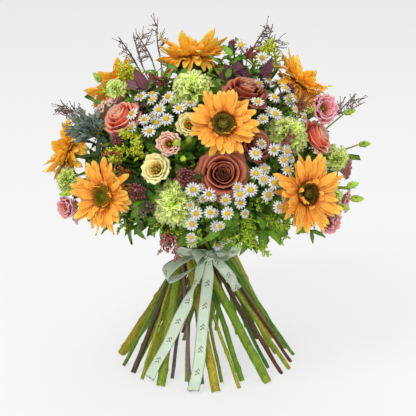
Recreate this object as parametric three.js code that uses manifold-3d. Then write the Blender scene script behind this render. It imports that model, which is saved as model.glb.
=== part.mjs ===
// A hand-tied mixed bouquet that stands on its own cut stems: sunflowers, roses, carnations,
// lisianthus, chamomile, goldenrod, berry heads, dry twigs and foliage, spiralled through one tie.
// Millimetres, +Z up. Azimuth 0 faces the front, -Y, and grows to the right; polar 0 is straight up.
import * as THREE from 'three';
import Module from 'manifold-3d';

const wasm = await Module();
wasm.setup();
const { Manifold, Mesh } = wasm;

// ---------------------------------------------------------------- driving dimensions
const TIE_HEIGHT = 147; // middle of the tie above the surface that the stems stand on
const TIE_RADIUS = 34; // outside of the bundle of stems at the tie
const FOOT_RADIUS = 104; // circle of the outer cut ends
const FOOT_TWIST = 62; // degrees that a stem turns round the axis from the tie to its cut end
const BLOOM_TWIST = 46; // degrees that it turns from its bloom to the tie
const DOME_ACROSS = 160; // half-width of the dome of blooms, measured at their faces
const DOME_UP = 150; // height of the dome over its middle
const DOME_MIDDLE = 225; // height of the dome's middle
const GAP = 0.35; // clear space left between separate pieces
const SEATED = 0.65; // a stem within this distance of another leans on it
const SUNFLOWER_STEM = 5.2; // stem radii
const ROSE_STEM = 3.3;
const CARNATION_STEM = 2.6;
const SPRAY_STEM = 2.2;
const RIBBON_WIDTH = 14;
const RIBBON_THICK = 0.8;
const TWINE_THICK = 1.8;

const COLOURS = {
  olive: 0x7d8a2c, ray: 0xf0a02c, bronze: 0x8f4a36, coral: 0xe07f66, leaf: 0x3f7a2a,
  lime: 0xa9c65a, cream: 0xf0e3b8, pink: 0xe6a3a8, white: 0xf2f0e4, gold: 0xa9b632,
  plum: 0x6a2f3e, twig: 0x6d5347, purple: 0x4b2838, blue: 0x6f8b7c, ribbon: 0xc5d9bd,
  twine: 0xb59c6a,
};

// ---------------------------------------------------------------- numbers and directions
let drawn = 20240611;

/** The next number of one fixed series, from 0 to 1. */
function draw() {
  drawn = (drawn + 0x6d2b79f5) | 0;
  let t = Math.imul(drawn ^ (drawn >>> 15), 1 | drawn);
  t = (t + Math.imul(t ^ (t >>> 7), 61 | t)) ^ t;
  return ((t ^ (t >>> 14)) >>> 0) / 4294967296;
}

const spread = (size) => (draw() * 2 - 1) * size;
const rad = THREE.MathUtils.degToRad;
const GOLDEN = rad(137.508);
const V = (x, y, z) => new THREE.Vector3(x, y, z);
const UP = V(0, 0, 1);

/** The unit direction at an azimuth and a polar angle, in degrees. */
function direction(azimuth, polar) {
  const across = Math.sin(rad(polar));
  return V(across * Math.sin(rad(azimuth)), -across * Math.cos(rad(azimuth)), Math.cos(rad(polar)));
}

/** The point over which a bloom faces out of the dome, lifted off it by a few millimetres. */
function domePoint(azimuth, polar, lift = 0) {
  const d = direction(azimuth, polar);
  return V(d.x * (DOME_ACROSS + lift), d.y * (DOME_ACROSS + lift), DOME_MIDDLE + d.z * (DOME_UP + lift));
}

/** Axes at a place: z along the given axis, x level, y towards the top, turned by spin radians. */
function axesAt(origin, axis, spin = 0) {
  const z = axis.clone().normalize();
  const x = Math.abs(z.z) > 0.98 ? V(1, 0, 0) : UP.clone().cross(z).normalize();
  const y = z.clone().cross(x).normalize();
  x.crossVectors(y, z).applyAxisAngle(z, spin);
  y.applyAxisAngle(z, spin);
  return { origin: origin.clone(), x, y, z };
}

/** A point given in a bloom's own axes. */
function at(axes, x, y, z) {
  return axes.origin.clone().addScaledVector(axes.x, x).addScaledVector(axes.y, y).addScaledVector(axes.z, z);
}

/** A point given by angle, radius and height round a bloom's axis. */
const polarAt = (axes, angle, r, z) => at(axes, r * Math.cos(angle), r * Math.sin(angle), z);

// ---------------------------------------------------------------- closed solids
/** A closed solid from points and triangles, turned inside out if its faces point in. */
function solid(points, faces) {
  let volume = 0;
  for (const [a, b, c] of faces) {
    volume += points[a].dot(points[b].clone().cross(points[c]));
  }
  const turned = volume < 0 ? faces.map(([a, b, c]) => [a, c, b]) : faces;
  return new Manifold(new Mesh({
    numProp: 3,
    vertProperties: Float32Array.from(points.flatMap((p) => [p.x, p.y, p.z])),
    triVerts: Uint32Array.from(turned.flat()),
  }));
}

/** Triangles between two closed rings of points, which may have different counts. */
function between(here, count, next, nextCount) {
  const faces = [];
  let i = 0;
  let j = 0;
  while (i < count || j < nextCount) {
    const due = i < count && (j >= nextCount || (i + 1) / count <= (j + 1) / nextCount);
    const first = nextCount === 1 || (count > 1 && due);
    if (first ? i >= count : j >= nextCount) break;
    if (first) {
      faces.push([here + (i % count), here + ((i + 1) % count), next + (j % nextCount)]);
      i += 1;
    } else {
      faces.push([here + (i % count), next + ((j + 1) % nextCount), next + (j % nextCount)]);
      j += 1;
    }
  }
  return faces;
}

/** A skin over rings of points; a ring of one point is a tip, and open ends are capped. */
function loft(rings) {
  const faces = [];
  let base = 0;
  for (let i = 0; i + 1 < rings.length; i += 1) {
    const next = base + rings[i].length;
    faces.push(...between(base, rings[i].length, next, rings[i + 1].length));
    base = next;
  }
  for (let k = 1; k + 1 < rings[0].length; k += 1) faces.push([0, k + 1, k]);
  for (let k = 1; k + 1 < rings.at(-1).length; k += 1) faces.push([base, base + k, base + k + 1]);
  return solid(rings.flat(), faces);
}

/**
 * A ring of points round a bloom's axis. out and up are added at most points and taken off at every
 * few, which gives scallops or teeth; turn shifts the ring by that many points.
 */
function ringOf(axes, sides, r, z, { out = 0, up = 0, every = 2, turn = 0 } = {}) {
  return Array.from({ length: sides }, (_, k) => {
    const sign = k % every ? 1 : -1;
    const angle = ((k + turn) / sides) * 2 * Math.PI;
    return polarAt(axes, angle, r + sign * out, z + sign * up);
  });
}

/**
 * The rings of a stalk that runs down a path from a bloom whose x axis is side; with level set, its
 * last end is cut level, as a stem on a table.
 */
function stalkRings(path, radii, sides, side, level = false) {
  let from = side;
  return path.map((point, i) => {
    const before = path[Math.max(i - 1, 0)];
    const down = path[Math.min(i + 1, path.length - 1)].clone().sub(before).normalize();
    from = from.clone().addScaledVector(down, -from.dot(down)).normalize();
    const other = from.clone().cross(down);
    return Array.from({ length: sides }, (_, k) => {
      const angle = (k / sides) * 2 * Math.PI;
      const rim = point.clone().addScaledVector(from, radii[i] * Math.cos(angle));
      rim.addScaledVector(other, radii[i] * Math.sin(angle));
      if (level && i === path.length - 1) rim.addScaledVector(down, (point.z - rim.z) / down.z);
      return rim;
    });
  });
}

/** A thin leaf or petal: an outline whose first and last points are its root, thickest at mid. */
function blade(outline, mid, normal, thick, rootThick = 1) {
  const n = outline.length;
  const root = outline[0].clone().add(outline[n - 1]).multiplyScalar(0.5);
  const points = [...outline];
  for (const sign of [1, -1]) {
    points.push(mid.clone().addScaledVector(normal, (sign * thick) / 2));
    points.push(root.clone().addScaledVector(normal, (sign * rootThick) / 2));
  }
  const [top, topRoot, under, underRoot] = [n, n + 1, n + 2, n + 3];
  const faces = [];
  for (let k = 0; k + 1 < n; k += 1) faces.push([k, k + 1, top], [k + 1, k, under]);
  faces.push([n - 1, topRoot, top], [topRoot, 0, top], [underRoot, n - 1, under], [0, underRoot, under]);
  faces.push([n - 1, underRoot, topRoot], [0, topRoot, underRoot]);
  return solid(points, faces);
}

// ---------------------------------------------------------------- the pieces and their places
const pieces = new Map();
const placed = [];

/** Says whether a solid stays clear of every placed solid that the last argument doesn't pass over. */
function isClear(body, passOver, gap = GAP) {
  const box = body.boundingBox();
  return placed.every((other) => {
    if (passOver(other)) return true;
    for (let k = 0; k < 3; k += 1) {
      if (box.min[k] > other.box.max[k] + gap || box.max[k] < other.box.min[k] - gap) return true;
    }
    return body.minGap(other.body, gap * 2) >= gap;
  });
}

/** Keeps room for a solid, so that what is placed later stays clear of it. */
function reserve(name, body, isHead = false) {
  placed.push({ name, body, isHead, box: body.boundingBox() });
}

/** Adds a solid to the piece that it is part of. */
function put(name, colour, body, isHead = false) {
  if (!pieces.has(name)) pieces.set(name, { colour, bodies: [] });
  pieces.get(name).bodies.push(body);
  reserve(name, body, isHead);
}

/**
 * Adds the first of the tries that is clear of the other pieces. make(k) returns the solid as body,
 * and as head the part of it that must also keep clear of the heads of its own piece.
 */
function putFirst(name, colour, tries, make) {
  for (let k = 0; k < tries; k += 1) {
    const made = make(k);
    const ownClear = !made.head || isClear(made.head, (other) => other.name !== name || !other.isHead);
    if (ownClear && isClear(made.body, (other) => other.name === name)) {
      put(name, colour, made.body, Boolean(made.head));
      return made;
    }
  }
  return null;
}

// ---------------------------------------------------------------- the spiral bundle
const members = [];

/** Lists a stem of the bouquet: its bloom's place, its thickness, and the head that it carries. */
function member(name, colour, { azimuth, polar }, radius, head) {
  members.push({ name, colour, azimuth, polar, radius, rank: polar + (radius > 4 ? 40 : 0), ...head });
}

/** Gives each stem its place at the tie: rings of touching stems, the widest blooms outermost. */
function fillBundle() {
  const waiting = [...members].sort((a, b) => b.rank - a.rank);
  let outer = TIE_RADIUS;
  for (let ringNumber = 0; waiting.length; ringNumber += 1) {
    const reach = FOOT_RADIUS * Math.max(0.16, 1 - 0.21 * ringNumber);
    const slant = Math.hypot(1, (reach * Math.sin(rad(FOOT_TWIST))) / TIE_HEIGHT);
    const ring = [];
    let used = 0;
    while (waiting.length) {
      const { radius } = waiting[0];
      const middle = Math.max(outer - radius, radius);
      const angle = 2 * Math.asin(Math.min(1, ((radius + 0.2) * slant) / middle));
      if (ring.length && used + angle > 2 * Math.PI) break;
      ring.push(Object.assign(waiting.shift(), { angle, middle, ringNumber }));
      used += angle;
    }
    ring.sort((a, b) => a.azimuth - b.azimuth);
    const off = V(0, 0, 0);
    let turn = 0;
    for (const stem of ring) {
      stem.turn = turn + stem.angle / 2;
      turn += stem.angle;
      const missing = rad(stem.azimuth + BLOOM_TWIST) - stem.turn;
      off.add(V(Math.cos(missing), Math.sin(missing), 0));
    }
    for (const stem of ring) {
      const tieAngle = stem.turn + Math.atan2(off.y, off.x);
      const footAngle = tieAngle + rad(FOOT_TWIST + spread(2));
      stem.tie = V(Math.sin(tieAngle), -Math.cos(tieAngle), 0).multiplyScalar(stem.middle).setZ(TIE_HEIGHT);
      stem.foot = V(Math.sin(footAngle), -Math.cos(footAngle), 0).multiplyScalar(reach + spread(3));
    }
    outer -= 2 * Math.max(...ring.map((stem) => stem.radius)) + 0.5;
  }
  members.sort((a, b) => a.ringNumber - b.ringNumber || a.turn - b.turn);
}

/** Says whether a stem leans on a piece other than its own bloom. */
function isSeated(body, name) {
  const box = body.boundingBox();
  const bloom = name.replace('_stem', '');
  return placed.some((other) => {
    const close = [0, 1, 2].every((k) => {
      return box.min[k] < other.box.max[k] + SEATED && box.max[k] > other.box.min[k] - SEATED;
    });
    return close && !other.name.startsWith(bloom) && body.minGap(other.body, 2 * SEATED) <= SEATED;
  });
}

/**
 * Runs a stem from its head, whose rings go from its tip to its seat, through the tie to its cut
 * end: it is bent until it is clear, and pushed at the tie until it leans on what is there. Says
 * whether it was placed; one that leans on nothing yet is placed only with alone set.
 */
function growStem(stem, alone) {
  const { name, axes, seatHeight, rings = [], sides = 5, steps = 3, taper = 0.8 } = stem;
  const seat = at(axes, 0, 0, seatHeight);
  const up = stem.tie.clone().sub(stem.foot).normalize();
  const far = stem.tie.distanceTo(seat);
  const shape = (bend, push) => {
    const tie = stem.tie.clone().add(push);
    const near = tie.clone().addScaledVector(up, far * bend.start).add(bend.sway);
    const last = seat.clone().addScaledVector(axes.z, -far * bend.end).addScaledVector(bend.sway, 0.8);
    const path = [...new THREE.CubicBezierCurve3(seat, last, near, tie).getPoints(steps), stem.foot];
    const radii = path.map((_, i) => stem.radius * (taper + ((1.05 - taper) * i) / (path.length - 1)));
    return { body: loft([...rings, ...stalkRings(path, radii, sides, axes.x, true)]), path };
  };
  const clear = ({ body }) => isClear(body, (other) => other.name === name);
  const choose = (made) => {
    put(name, stem.colour, made.body);
    stem.path = made.path;
    return true;
  };
  const unseated = [];
  for (let k = 0; k < 400 && unseated.length < 8; k += 1) {
    const loose = Math.min(1, k / 60);
    const bend = {
      start: 0.38 + spread(0.2 * loose),
      end: 0.36 + spread(0.2 * loose),
      sway: V(spread(1), spread(1), spread(0.5)).multiplyScalar(k ? 6 + 34 * loose : 0),
    };
    const first = shape(bend, V(0, 0, 0));
    if (!clear(first)) continue;
    for (let n = 0; n < 96; n += 1) {
      const push = direction(n * 30, 90).multiplyScalar(0.3 * Math.floor((n + 11) / 12));
      const made = shape(bend, push);
      if (isSeated(made.body, name) && clear(made)) return choose(made);
    }
    unseated.push(first);
  }
  return alone && unseated.length > 0 && choose(unseated[0]);
}

/** The point on a path at a share of its length, with the direction there. */
function along(path, share) {
  const curve = new THREE.CurvePath();
  for (let i = 0; i + 1 < path.length; i += 1) curve.add(new THREE.LineCurve3(path[i], path[i + 1]));
  return { point: curve.getPointAt(share), tangent: curve.getTangentAt(share) };
}

// ---------------------------------------------------------------- sunflowers
const HEAD_SIDES = 10;
const RAYS = 14; // rays of a bloom, front and back ones in turn
const RAY_ROOT = 11.5; // inside of the ring that carries the rays
const RAY_NOTCH = 16.8; // where neighbouring rays part

/** The rings of a head from the middle of its disc to its seat, with relief and a ruff of bracts. */
function sunflowerRings(axes) {
  const profile = [
    [5.5, 5.6, { out: 0.2, up: -0.5 }], [11, 6.6, { out: 0.3, up: 0.6 }], [14.5, 3.4],
    [10.6, 2.6], [10.8, -4.4], [20, -5.6, { out: 4.5 }], [9.5, -7],
  ];
  return [[at(axes, 0, 0, 5.4)], ...profile.map(([r, z, wave]) => ringOf(axes, HEAD_SIDES, r, z, wave))];
}

/** The places on one ray by name: its widest points, its tip and its thickest place. */
function rayPoints(axes, { angle, reach, rise }) {
  const height = (r) => rise * ((r - RAY_ROOT) / (reach - RAY_ROOT)) ** 1.3 - 0.2;
  const widest = RAY_ROOT + (reach - RAY_ROOT) * 0.6;
  const point = (r, side, lift = 0) => {
    return polarAt(axes, angle + Math.atan2(side, r), Math.hypot(side, r), height(r) + lift);
  };
  const thick = RAY_ROOT + (reach - RAY_ROOT) * 0.44;
  return {
    left: point(widest, -6), tip: point(reach, 0), right: point(widest, 6),
    top: point(thick, 0, 0.9), under: point(thick, 0, -0.9), notchHeight: height(RAY_NOTCH),
  };
}

/** One ray on its own, to see whether it is clear. */
function loneRay(axes, ray) {
  const { left, tip, right, top, under } = rayPoints(axes, ray);
  const root = [-1, 1].map((sign) => polarAt(axes, ray.angle + (sign * Math.PI) / RAYS, RAY_NOTCH, 0.5));
  const points = [root[0], left, tip, right, root[1], top, under];
  const faces = [];
  for (let k = 0; k < 5; k += 1) faces.push([k, (k + 1) % 5, 5], [(k + 1) % 5, k, 6]);
  return solid(points, faces);
}

/** All the rays of a bloom and the ring that carries them, as one corolla. */
function corolla(axes, rays) {
  const shapes = rays.map((ray) => rayPoints(axes, ray));
  const points = [];
  shapes.forEach((shape, k) => {
    const before = shapes[(k + RAYS - 1) % RAYS];
    const { angle } = rays[k];
    points.push(
      polarAt(axes, angle, RAY_ROOT, 0.4), polarAt(axes, angle, RAY_ROOT, -2.2),
      polarAt(axes, angle - Math.PI / RAYS, RAY_NOTCH, (before.notchHeight + shape.notchHeight) / 2),
      shape.left, shape.tip, shape.right, shape.top, shape.under,
    );
  });
  const faces = [];
  for (let k = 0; k < RAYS; k += 1) {
    const here = [0, 1, 2, 3, 4, 5, 6, 7].map((n) => 8 * k + n);
    const [inTop, inUnder, notch, leftEdge, tip, rightEdge, top, under] = here;
    const [nextTop, nextUnder, nextNotch] = [0, 1, 2].map((n) => 8 * ((k + 1) % RAYS) + n);
    const edge = [notch, leftEdge, tip, rightEdge, nextNotch];
    for (let n = 0; n + 1 < edge.length; n += 1) {
      faces.push([edge[n], edge[n + 1], top], [edge[n + 1], edge[n], under]);
    }
    faces.push([nextNotch, inTop, top], [inTop, notch, top], [inTop, nextNotch, nextTop]);
    faces.push([inUnder, nextNotch, under], [notch, inUnder, under], [nextNotch, inUnder, nextUnder]);
    faces.push([inTop, nextTop, nextUnder], [inTop, nextUnder, inUnder]);
  }
  return solid(points, faces);
}

/** The rays of a sunflower, each raised, lowered or shortened until it is clear of what is near. */
function sunflowerRays(name, axes, reach, cup) {
  const node = `${name}_rays`;
  const rays = Array.from({ length: RAYS }, (_, k) => {
    const angle = (k / RAYS) * 2 * Math.PI;
    const own = reach * (1 + spread(0.05));
    let ray = null;
    for (let n = 0; n < 60; n += 1) {
      const loose = n / 60;
      const rise = (k % 2 ? 2 : cup) + (n ? spread(3 + 26 * loose) : 0);
      ray = { angle, reach: own * (1 - 0.45 * loose), rise: THREE.MathUtils.clamp(rise, -4, 30) };
      if (isClear(loneRay(axes, ray), (other) => [node, `${name}_stem`].includes(other.name))) return ray;
    }
    return { ...ray, reach: RAY_NOTCH + 3, rise: 1 };
  });
  put(node, COLOURS.ray, corolla(axes, rays));
}

// ---------------------------------------------------------------- roses
/** The petals of a rose: five and five open ones in scalloped layers round a wrapped bud. */
function rosePetals(axes, size) {
  const profile = [
    [11, 26, 1.2, 1.2, 3], [12, 15, 0.3, 0, 2.25], [18.6, 21.5, 1.5, 1.3, 1.5], [15, 9.5, 0.4, 0, 0.75],
    [24.8, 14.5, 2, 1.6, 0], [13, 3, 0.6, 0, 0], [4.5, -1, 0, 0, 0],
  ];
  const rings = profile.map(([r, z, out, up, turn]) => {
    return ringOf(axes, 15, r * size, z * size, { out: out * size, up: up * size, every: 3, turn });
  });
  return loft([[at(axes, 0, 0, 18 * size)], ...rings]);
}

/** The green cup of a rose and its five sepals, from the petals down to the stem. */
function roseCup(axes, size) {
  const profile = [[4.2, -1.6], [4.6, -3.4], [9.5, -5, 4.5], [3.6, -5.6]];
  return profile.map(([r, z, out = 0]) => ringOf(axes, 10, r * size, z * size, { out: out * size }));
}

// ---------------------------------------------------------------- leaves
/** A leaf facing up: its length, half its width, and how far its tip curls down. */
function leafBlade(origin, heading, long, half, droop) {
  const side = heading.clone().cross(Math.abs(heading.z) > 0.95 ? V(0, 1, 0) : UP).normalize();
  const up = side.clone().cross(heading).normalize();
  const point = (share, across) => {
    const spot = origin.clone().addScaledVector(heading, long * share).addScaledVector(side, across);
    return spot.addScaledVector(up, -droop * share * share);
  };
  const edge = [[0, 0.22], [0.32, 0.95], [0.68, 0.8]];
  const outline = [
    ...edge.map(([share, wide]) => point(share, -half * wide)), point(1, 0),
    ...edge.toReversed().map(([share, wide]) => point(share, half * wide)),
  ];
  return blade(outline, point(0.45, 0), up, 1.6, 1.1);
}

/** Leaves growing out of a stem, at shares of its length from its head, turned clear of the rest. */
function growLeaves(stem, { shares, long, half }) {
  shares.forEach((share, i) => {
    const { point, tangent } = along(stem.path, share);
    putFirst(stem.name, stem.colour, 36, (n) => {
      const outward = V(point.x, point.y, 0).normalize();
      const turn = (i * GOLDEN + n * 0.9) % (2 * Math.PI);
      const heading = outward.clone().applyAxisAngle(tangent, n < 8 ? spread(0.7) : turn);
      heading.addScaledVector(tangent, -0.4 - draw() * 0.9).normalize();
      const shrink = 1 - 0.4 * (n / 36);
      const start = point.clone().addScaledVector(heading, -0.6);
      const body = leafBlade(start, heading, long * shrink, half * shrink, 3 + spread(3));
      return { body, head: body };
    });
  });
}

// ---------------------------------------------------------------- carnations
/** The rings of a carnation: ruffled layers with toothed edges, over a long green cup. */
function carnationRings(axes, size) {
  const profile = [
    [9, 22.5, 1.5, -1], [8, 16.5, 0, 0], [18.5, 18, 2, 1.4], [12, 13.5, 0, 0],
    [24.5, 10.5, 2, -1.4], [14, 6.5, 0, 0], [22, 2, 1.6, 1],
  ];
  const ruffles = profile.map(([r, z, out, up]) => {
    return ringOf(axes, 12, r * size, z * size, { out: out * size, up: up * size });
  });
  const cup = [[5.6, -1], [5.6, -19]].map(([r, z]) => ringOf(axes, 6, r * size, z * size));
  return [[at(axes, 0, 0, 18 * size)], ...ruffles, ...cup];
}

// ---------------------------------------------------------------- heads of the sprays
/** A lisianthus bloom: five rounded petals round a small centre; shut closes it up. */
function openRings(axes, size, shut = 0) {
  const wide = 1 - 0.45 * shut;
  const wave = { out: 1.6 * size, up: 1.4 * size, every: 3 };
  return [
    [at(axes, 0, 0, 9.5 * size)],
    ringOf(axes, 4, 2.6 * size, 4.5 * size),
    ringOf(axes, 8, 8 * wide * size, 5.5 * size),
    ringOf(axes, 15, 16.5 * wide * size, (11 + 5 * shut) * size, wave),
    ringOf(axes, 8, 7 * size, 2.5 * size),
  ];
}

/** A closed lisianthus bud, wrapped in a slight twist. */
function budRings(axes, size) {
  const profile = [[2.2, 10], [4, 4], [3.4, -1]];
  const rings = profile.map(([r, z], i) => ringOf(axes, 4, r * size, z * size, { turn: 0.4 * (2 - i) }));
  return [[at(axes, 0, 0, 14 * size)], ...rings];
}

/** A chamomile daisy: six broad white rays round a domed yellow centre, as one star. */
function daisyRings(axes, size) {
  return [[at(axes, 0, 0, 2.6)], ringOf(axes, 12, 6.4 * size, 0, { out: -2.2 * size, up: 0.4 })];
}

/** A plume of goldenrod: florets as beads, set across each other, along its arching tip. */
function plumeRings(axes, size) {
  const beads = [2.4, 1.4, 3.8, 1.7, 4.2, 2];
  const rings = beads.map((r, i) => {
    const z = (29 - i * 6.4) * size;
    const arch = 0.012 * (z + 4) ** 2;
    const moved = { ...axes, origin: at(axes, 0.4 * arch, -arch, 0) };
    return ringOf(moved, 4, r * Math.sqrt(size), z, { turn: (i % 4) / 4 });
  });
  const arch = 0.012 * (40 * size) ** 2;
  return [[at(axes, 0.4 * arch, -arch, 36 * size)], ...rings];
}

/** A berry head: berries stand out of it as close-set knobs. */
function berryRings(axes, size) {
  const profile = [[5.2, 10.6, 1], [8.6, 7, -1.5], [9.4, 2, 1.5], [5.4, -1.8, -0.8]];
  const rings = profile.map(([r, z, out]) => {
    return ringOf(axes, 8, r * size, z * size, { out: out * size, up: 0.5 * out * size });
  });
  return [[at(axes, 0, 0, 11.5 * size)], ...rings];
}

/** The end of a dry twig: fine side spikes, one to each side in turn, along a thin curved axis. */
function twigRings(axes, size) {
  const rings = [[at(axes, 8 * size, 0, 40 * size)]];
  for (let i = 8; i >= 0; i -= 1) {
    const z = i * 4.4 * size;
    const moved = { ...axes, origin: at(axes, 0.005 * z * z, 0, 0) };
    const ring = ringOf(moved, 3, 0.9, z);
    const spike = (i * 2 + (i % 4)) % 3;
    if (i % 2) ring[spike] = polarAt(moved, (spike / 3) * 2 * Math.PI, (7 + (i % 3)) * size, z + 5 * size);
    rings.push(ring);
  }
  return rings;
}

// ---------------------------------------------------------------- sprays
const HEADS = {
  open: { rings: openRings, seat: -4, twig: 1.4 },
  daisy: { rings: daisyRings, seat: -1.8, twig: 0.95 },
  plume: { rings: plumeRings, seat: -9, twig: 1.1 },
  bud: { rings: budRings, seat: -4, twig: 1 },
  twig: { rings: twigRings, seat: -4, twig: 0.95 },
  berry: { rings: berryRings, seat: -5, twig: 1.2 },
};

/** A side branch from a stem to a head, with both tried together until they are clear. */
function growBranch(stem, head) {
  const kind = HEADS[head.kind];
  putFirst(stem.name, stem.colour, 80, (n) => {
    const loose = n / 80;
    const away = head.lift + (n ? loose * 14 * draw() : 0);
    const swing = n ? 2 + 9 * loose : 0;
    const spot = domePoint(head.azimuth + spread(swing), head.polar + spread(swing), away);
    const face = direction(head.azimuth + spread(14), (head.face ?? head.polar) + spread(14));
    const axes = axesAt(spot, face, draw() * 6);
    const from = along(stem.path, Math.min(0.5, head.from + loose * 0.1));
    const seat = at(axes, 0, 0, kind.seat * head.size);
    const far = from.point.distanceTo(seat);
    const curve = new THREE.CubicBezierCurve3(
      seat,
      seat.clone().addScaledVector(face, -far * (0.35 + spread(0.2 * loose))),
      from.point.clone().addScaledVector(from.tangent, -far * (0.3 + spread(0.2 * loose))),
      from.point,
    );
    const radii = [kind.twig * 0.9, kind.twig, kind.twig * 1.2];
    const stalk = stalkRings(curve.getPoints(2), radii, 3, axes.x);
    const rings = kind.rings(axes, head.size, loose);
    return { body: loft([...rings, ...stalk]), head: loft(rings) };
  });
}

/** Heads spread over a round patch of the dome by the golden angle. */
function patch(kind, azimuth, polar, radius, count, size, lift, extra = {}) {
  return Array.from({ length: count }, (_, k) => {
    const r = radius * Math.sqrt((k + 0.5) / count);
    const turn = k * GOLDEN + azimuth;
    const degrees = (r / DOME_UP) * (180 / Math.PI);
    return {
      kind,
      azimuth: azimuth + (degrees * Math.cos(turn)) / Math.max(0.35, Math.sin(rad(polar))),
      polar: polar + degrees * Math.sin(turn),
      size: size * (1 + spread(0.1)),
      lift: lift + spread(4),
      from: 0.03 + 0.14 * (r / radius),
      ...extra,
    };
  });
}

// ---------------------------------------------------------------- the layout
const SUNFLOWERS = [
  // name, place on the dome, lift, facing, reach of the rays, rise of the front rays
  { name: 'sunflower_front', azimuth: 8, polar: 48, lift: 4, face: [6, 56], reach: 41, cup: 13 },
  { name: 'sunflower_left_low', azimuth: -46, polar: 83, lift: 2, face: [-38, 80], reach: 44, cup: 10 },
  { name: 'sunflower_right_low', azimuth: 42, polar: 81, lift: 6, face: [34, 77], reach: 47, cup: 14 },
  { name: 'sunflower_top', azimuth: -150, polar: 13, lift: -4, face: [-174, 30], reach: 46, cup: 22 },
  { name: 'sunflower_left', azimuth: -92, polar: 76, lift: 8, face: [-96, 70], reach: 38, cup: 18 },
  { name: 'sunflower_right_high', azimuth: 104, polar: 42, lift: 6, face: [100, 40], reach: 38, cup: 20 },
  { name: 'sunflower_left_high', azimuth: -118, polar: 48, lift: 6, face: [-118, 46], reach: 38, cup: 18 },
  { name: 'sunflower_back', azimuth: 165, polar: 74, lift: 4, face: [165, 74], reach: 44, cup: 12 },
];
const ROSES = [
  { name: 'rose_front', colour: 'bronze', azimuth: 7, polar: 68, lift: -22, face: [4, 68], size: 1.12 },
  { name: 'rose_high', colour: 'bronze', azimuth: 33, polar: 31, lift: -16, face: [35, 24], size: 1 },
  { name: 'rose_middle', colour: 'bronze', azimuth: 27, polar: 56, lift: -26, face: [28, 52], size: 0.8 },
  { name: 'rose_left', colour: 'coral', azimuth: -58, polar: 49, lift: -16, face: [-50, 42], size: 0.9 },
  { name: 'rose_right', colour: 'coral', azimuth: 73, polar: 62, lift: -20, face: [76, 56], size: 0.85 },
  { name: 'rose_back', colour: 'bronze', azimuth: -152, polar: 66, lift: -20, face: [-152, 64], size: 1.05 },
];
const CARNATIONS = [
  { name: 'carnation_top', azimuth: -16, polar: 24, lift: -16, face: [-12, 26], size: 1.05 },
  { name: 'carnation_low', azimuth: -14, polar: 82, lift: -20, face: [-14, 78], size: 1.05 },
  { name: 'carnation_right', azimuth: 51, polar: 54, lift: -18, face: [50, 50], size: 0.95 },
  { name: 'carnation_back', azimuth: -170, polar: 42, lift: -18, face: [-170, 40], size: 1 },
];
const open = (azimuth, polar, size, lift = -6, face = polar) => {
  return { kind: 'open', azimuth, polar, size, lift, face, from: 0.06 };
};
const bud = (azimuth, polar, lift = 8, size = 1) => ({ kind: 'bud', azimuth, polar, size, lift, from: 0.1 });
const FEW_LEAVES = { shares: [0.2], long: 34, half: 9 };
const LISIANTHUS = [
  { name: 'lisianthus_front', colour: 'cream', azimuth: -18, polar: 60, leaves: FEW_LEAVES,
    heads: [open(-22, 68, 0.95), open(-17, 57, 0.8), open(-10, 47, 0.78), bud(-12, 56, 6)] },
  { name: 'lisianthus_left_high', colour: 'pink', azimuth: -84, polar: 50, leaves: FEW_LEAVES,
    heads: [open(-80, 52, 0.8), open(-76, 42, 0.8), bud(-92, 44, 20)] },
  { name: 'lisianthus_left_low', colour: 'pink', azimuth: -80, polar: 92, leaves: FEW_LEAVES,
    heads: [open(-76, 99, 0.85), open(-88, 88, 0.8, 0), bud(-70, 88, 8)] },
  { name: 'lisianthus_right', colour: 'pink', azimuth: 90, polar: 72, leaves: FEW_LEAVES,
    heads: [open(92, 60, 0.85), open(88, 82, 0.8, 0), bud(88, 74, 26), bud(94, 62, 24)] },
  { name: 'lisianthus_right_low', colour: 'pink', azimuth: 72, polar: 94, leaves: FEW_LEAVES,
    heads: [open(70, 98, 0.85), open(82, 96, 0.75, 0), bud(64, 92, 8)] },
  { name: 'lisianthus_back', colour: 'cream', azimuth: -130, polar: 84, leaves: FEW_LEAVES,
    heads: [open(-128, 90, 0.9), open(-138, 82, 0.85), open(-126, 76, 0.8), bud(-120, 84, 12)] },
];
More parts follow.
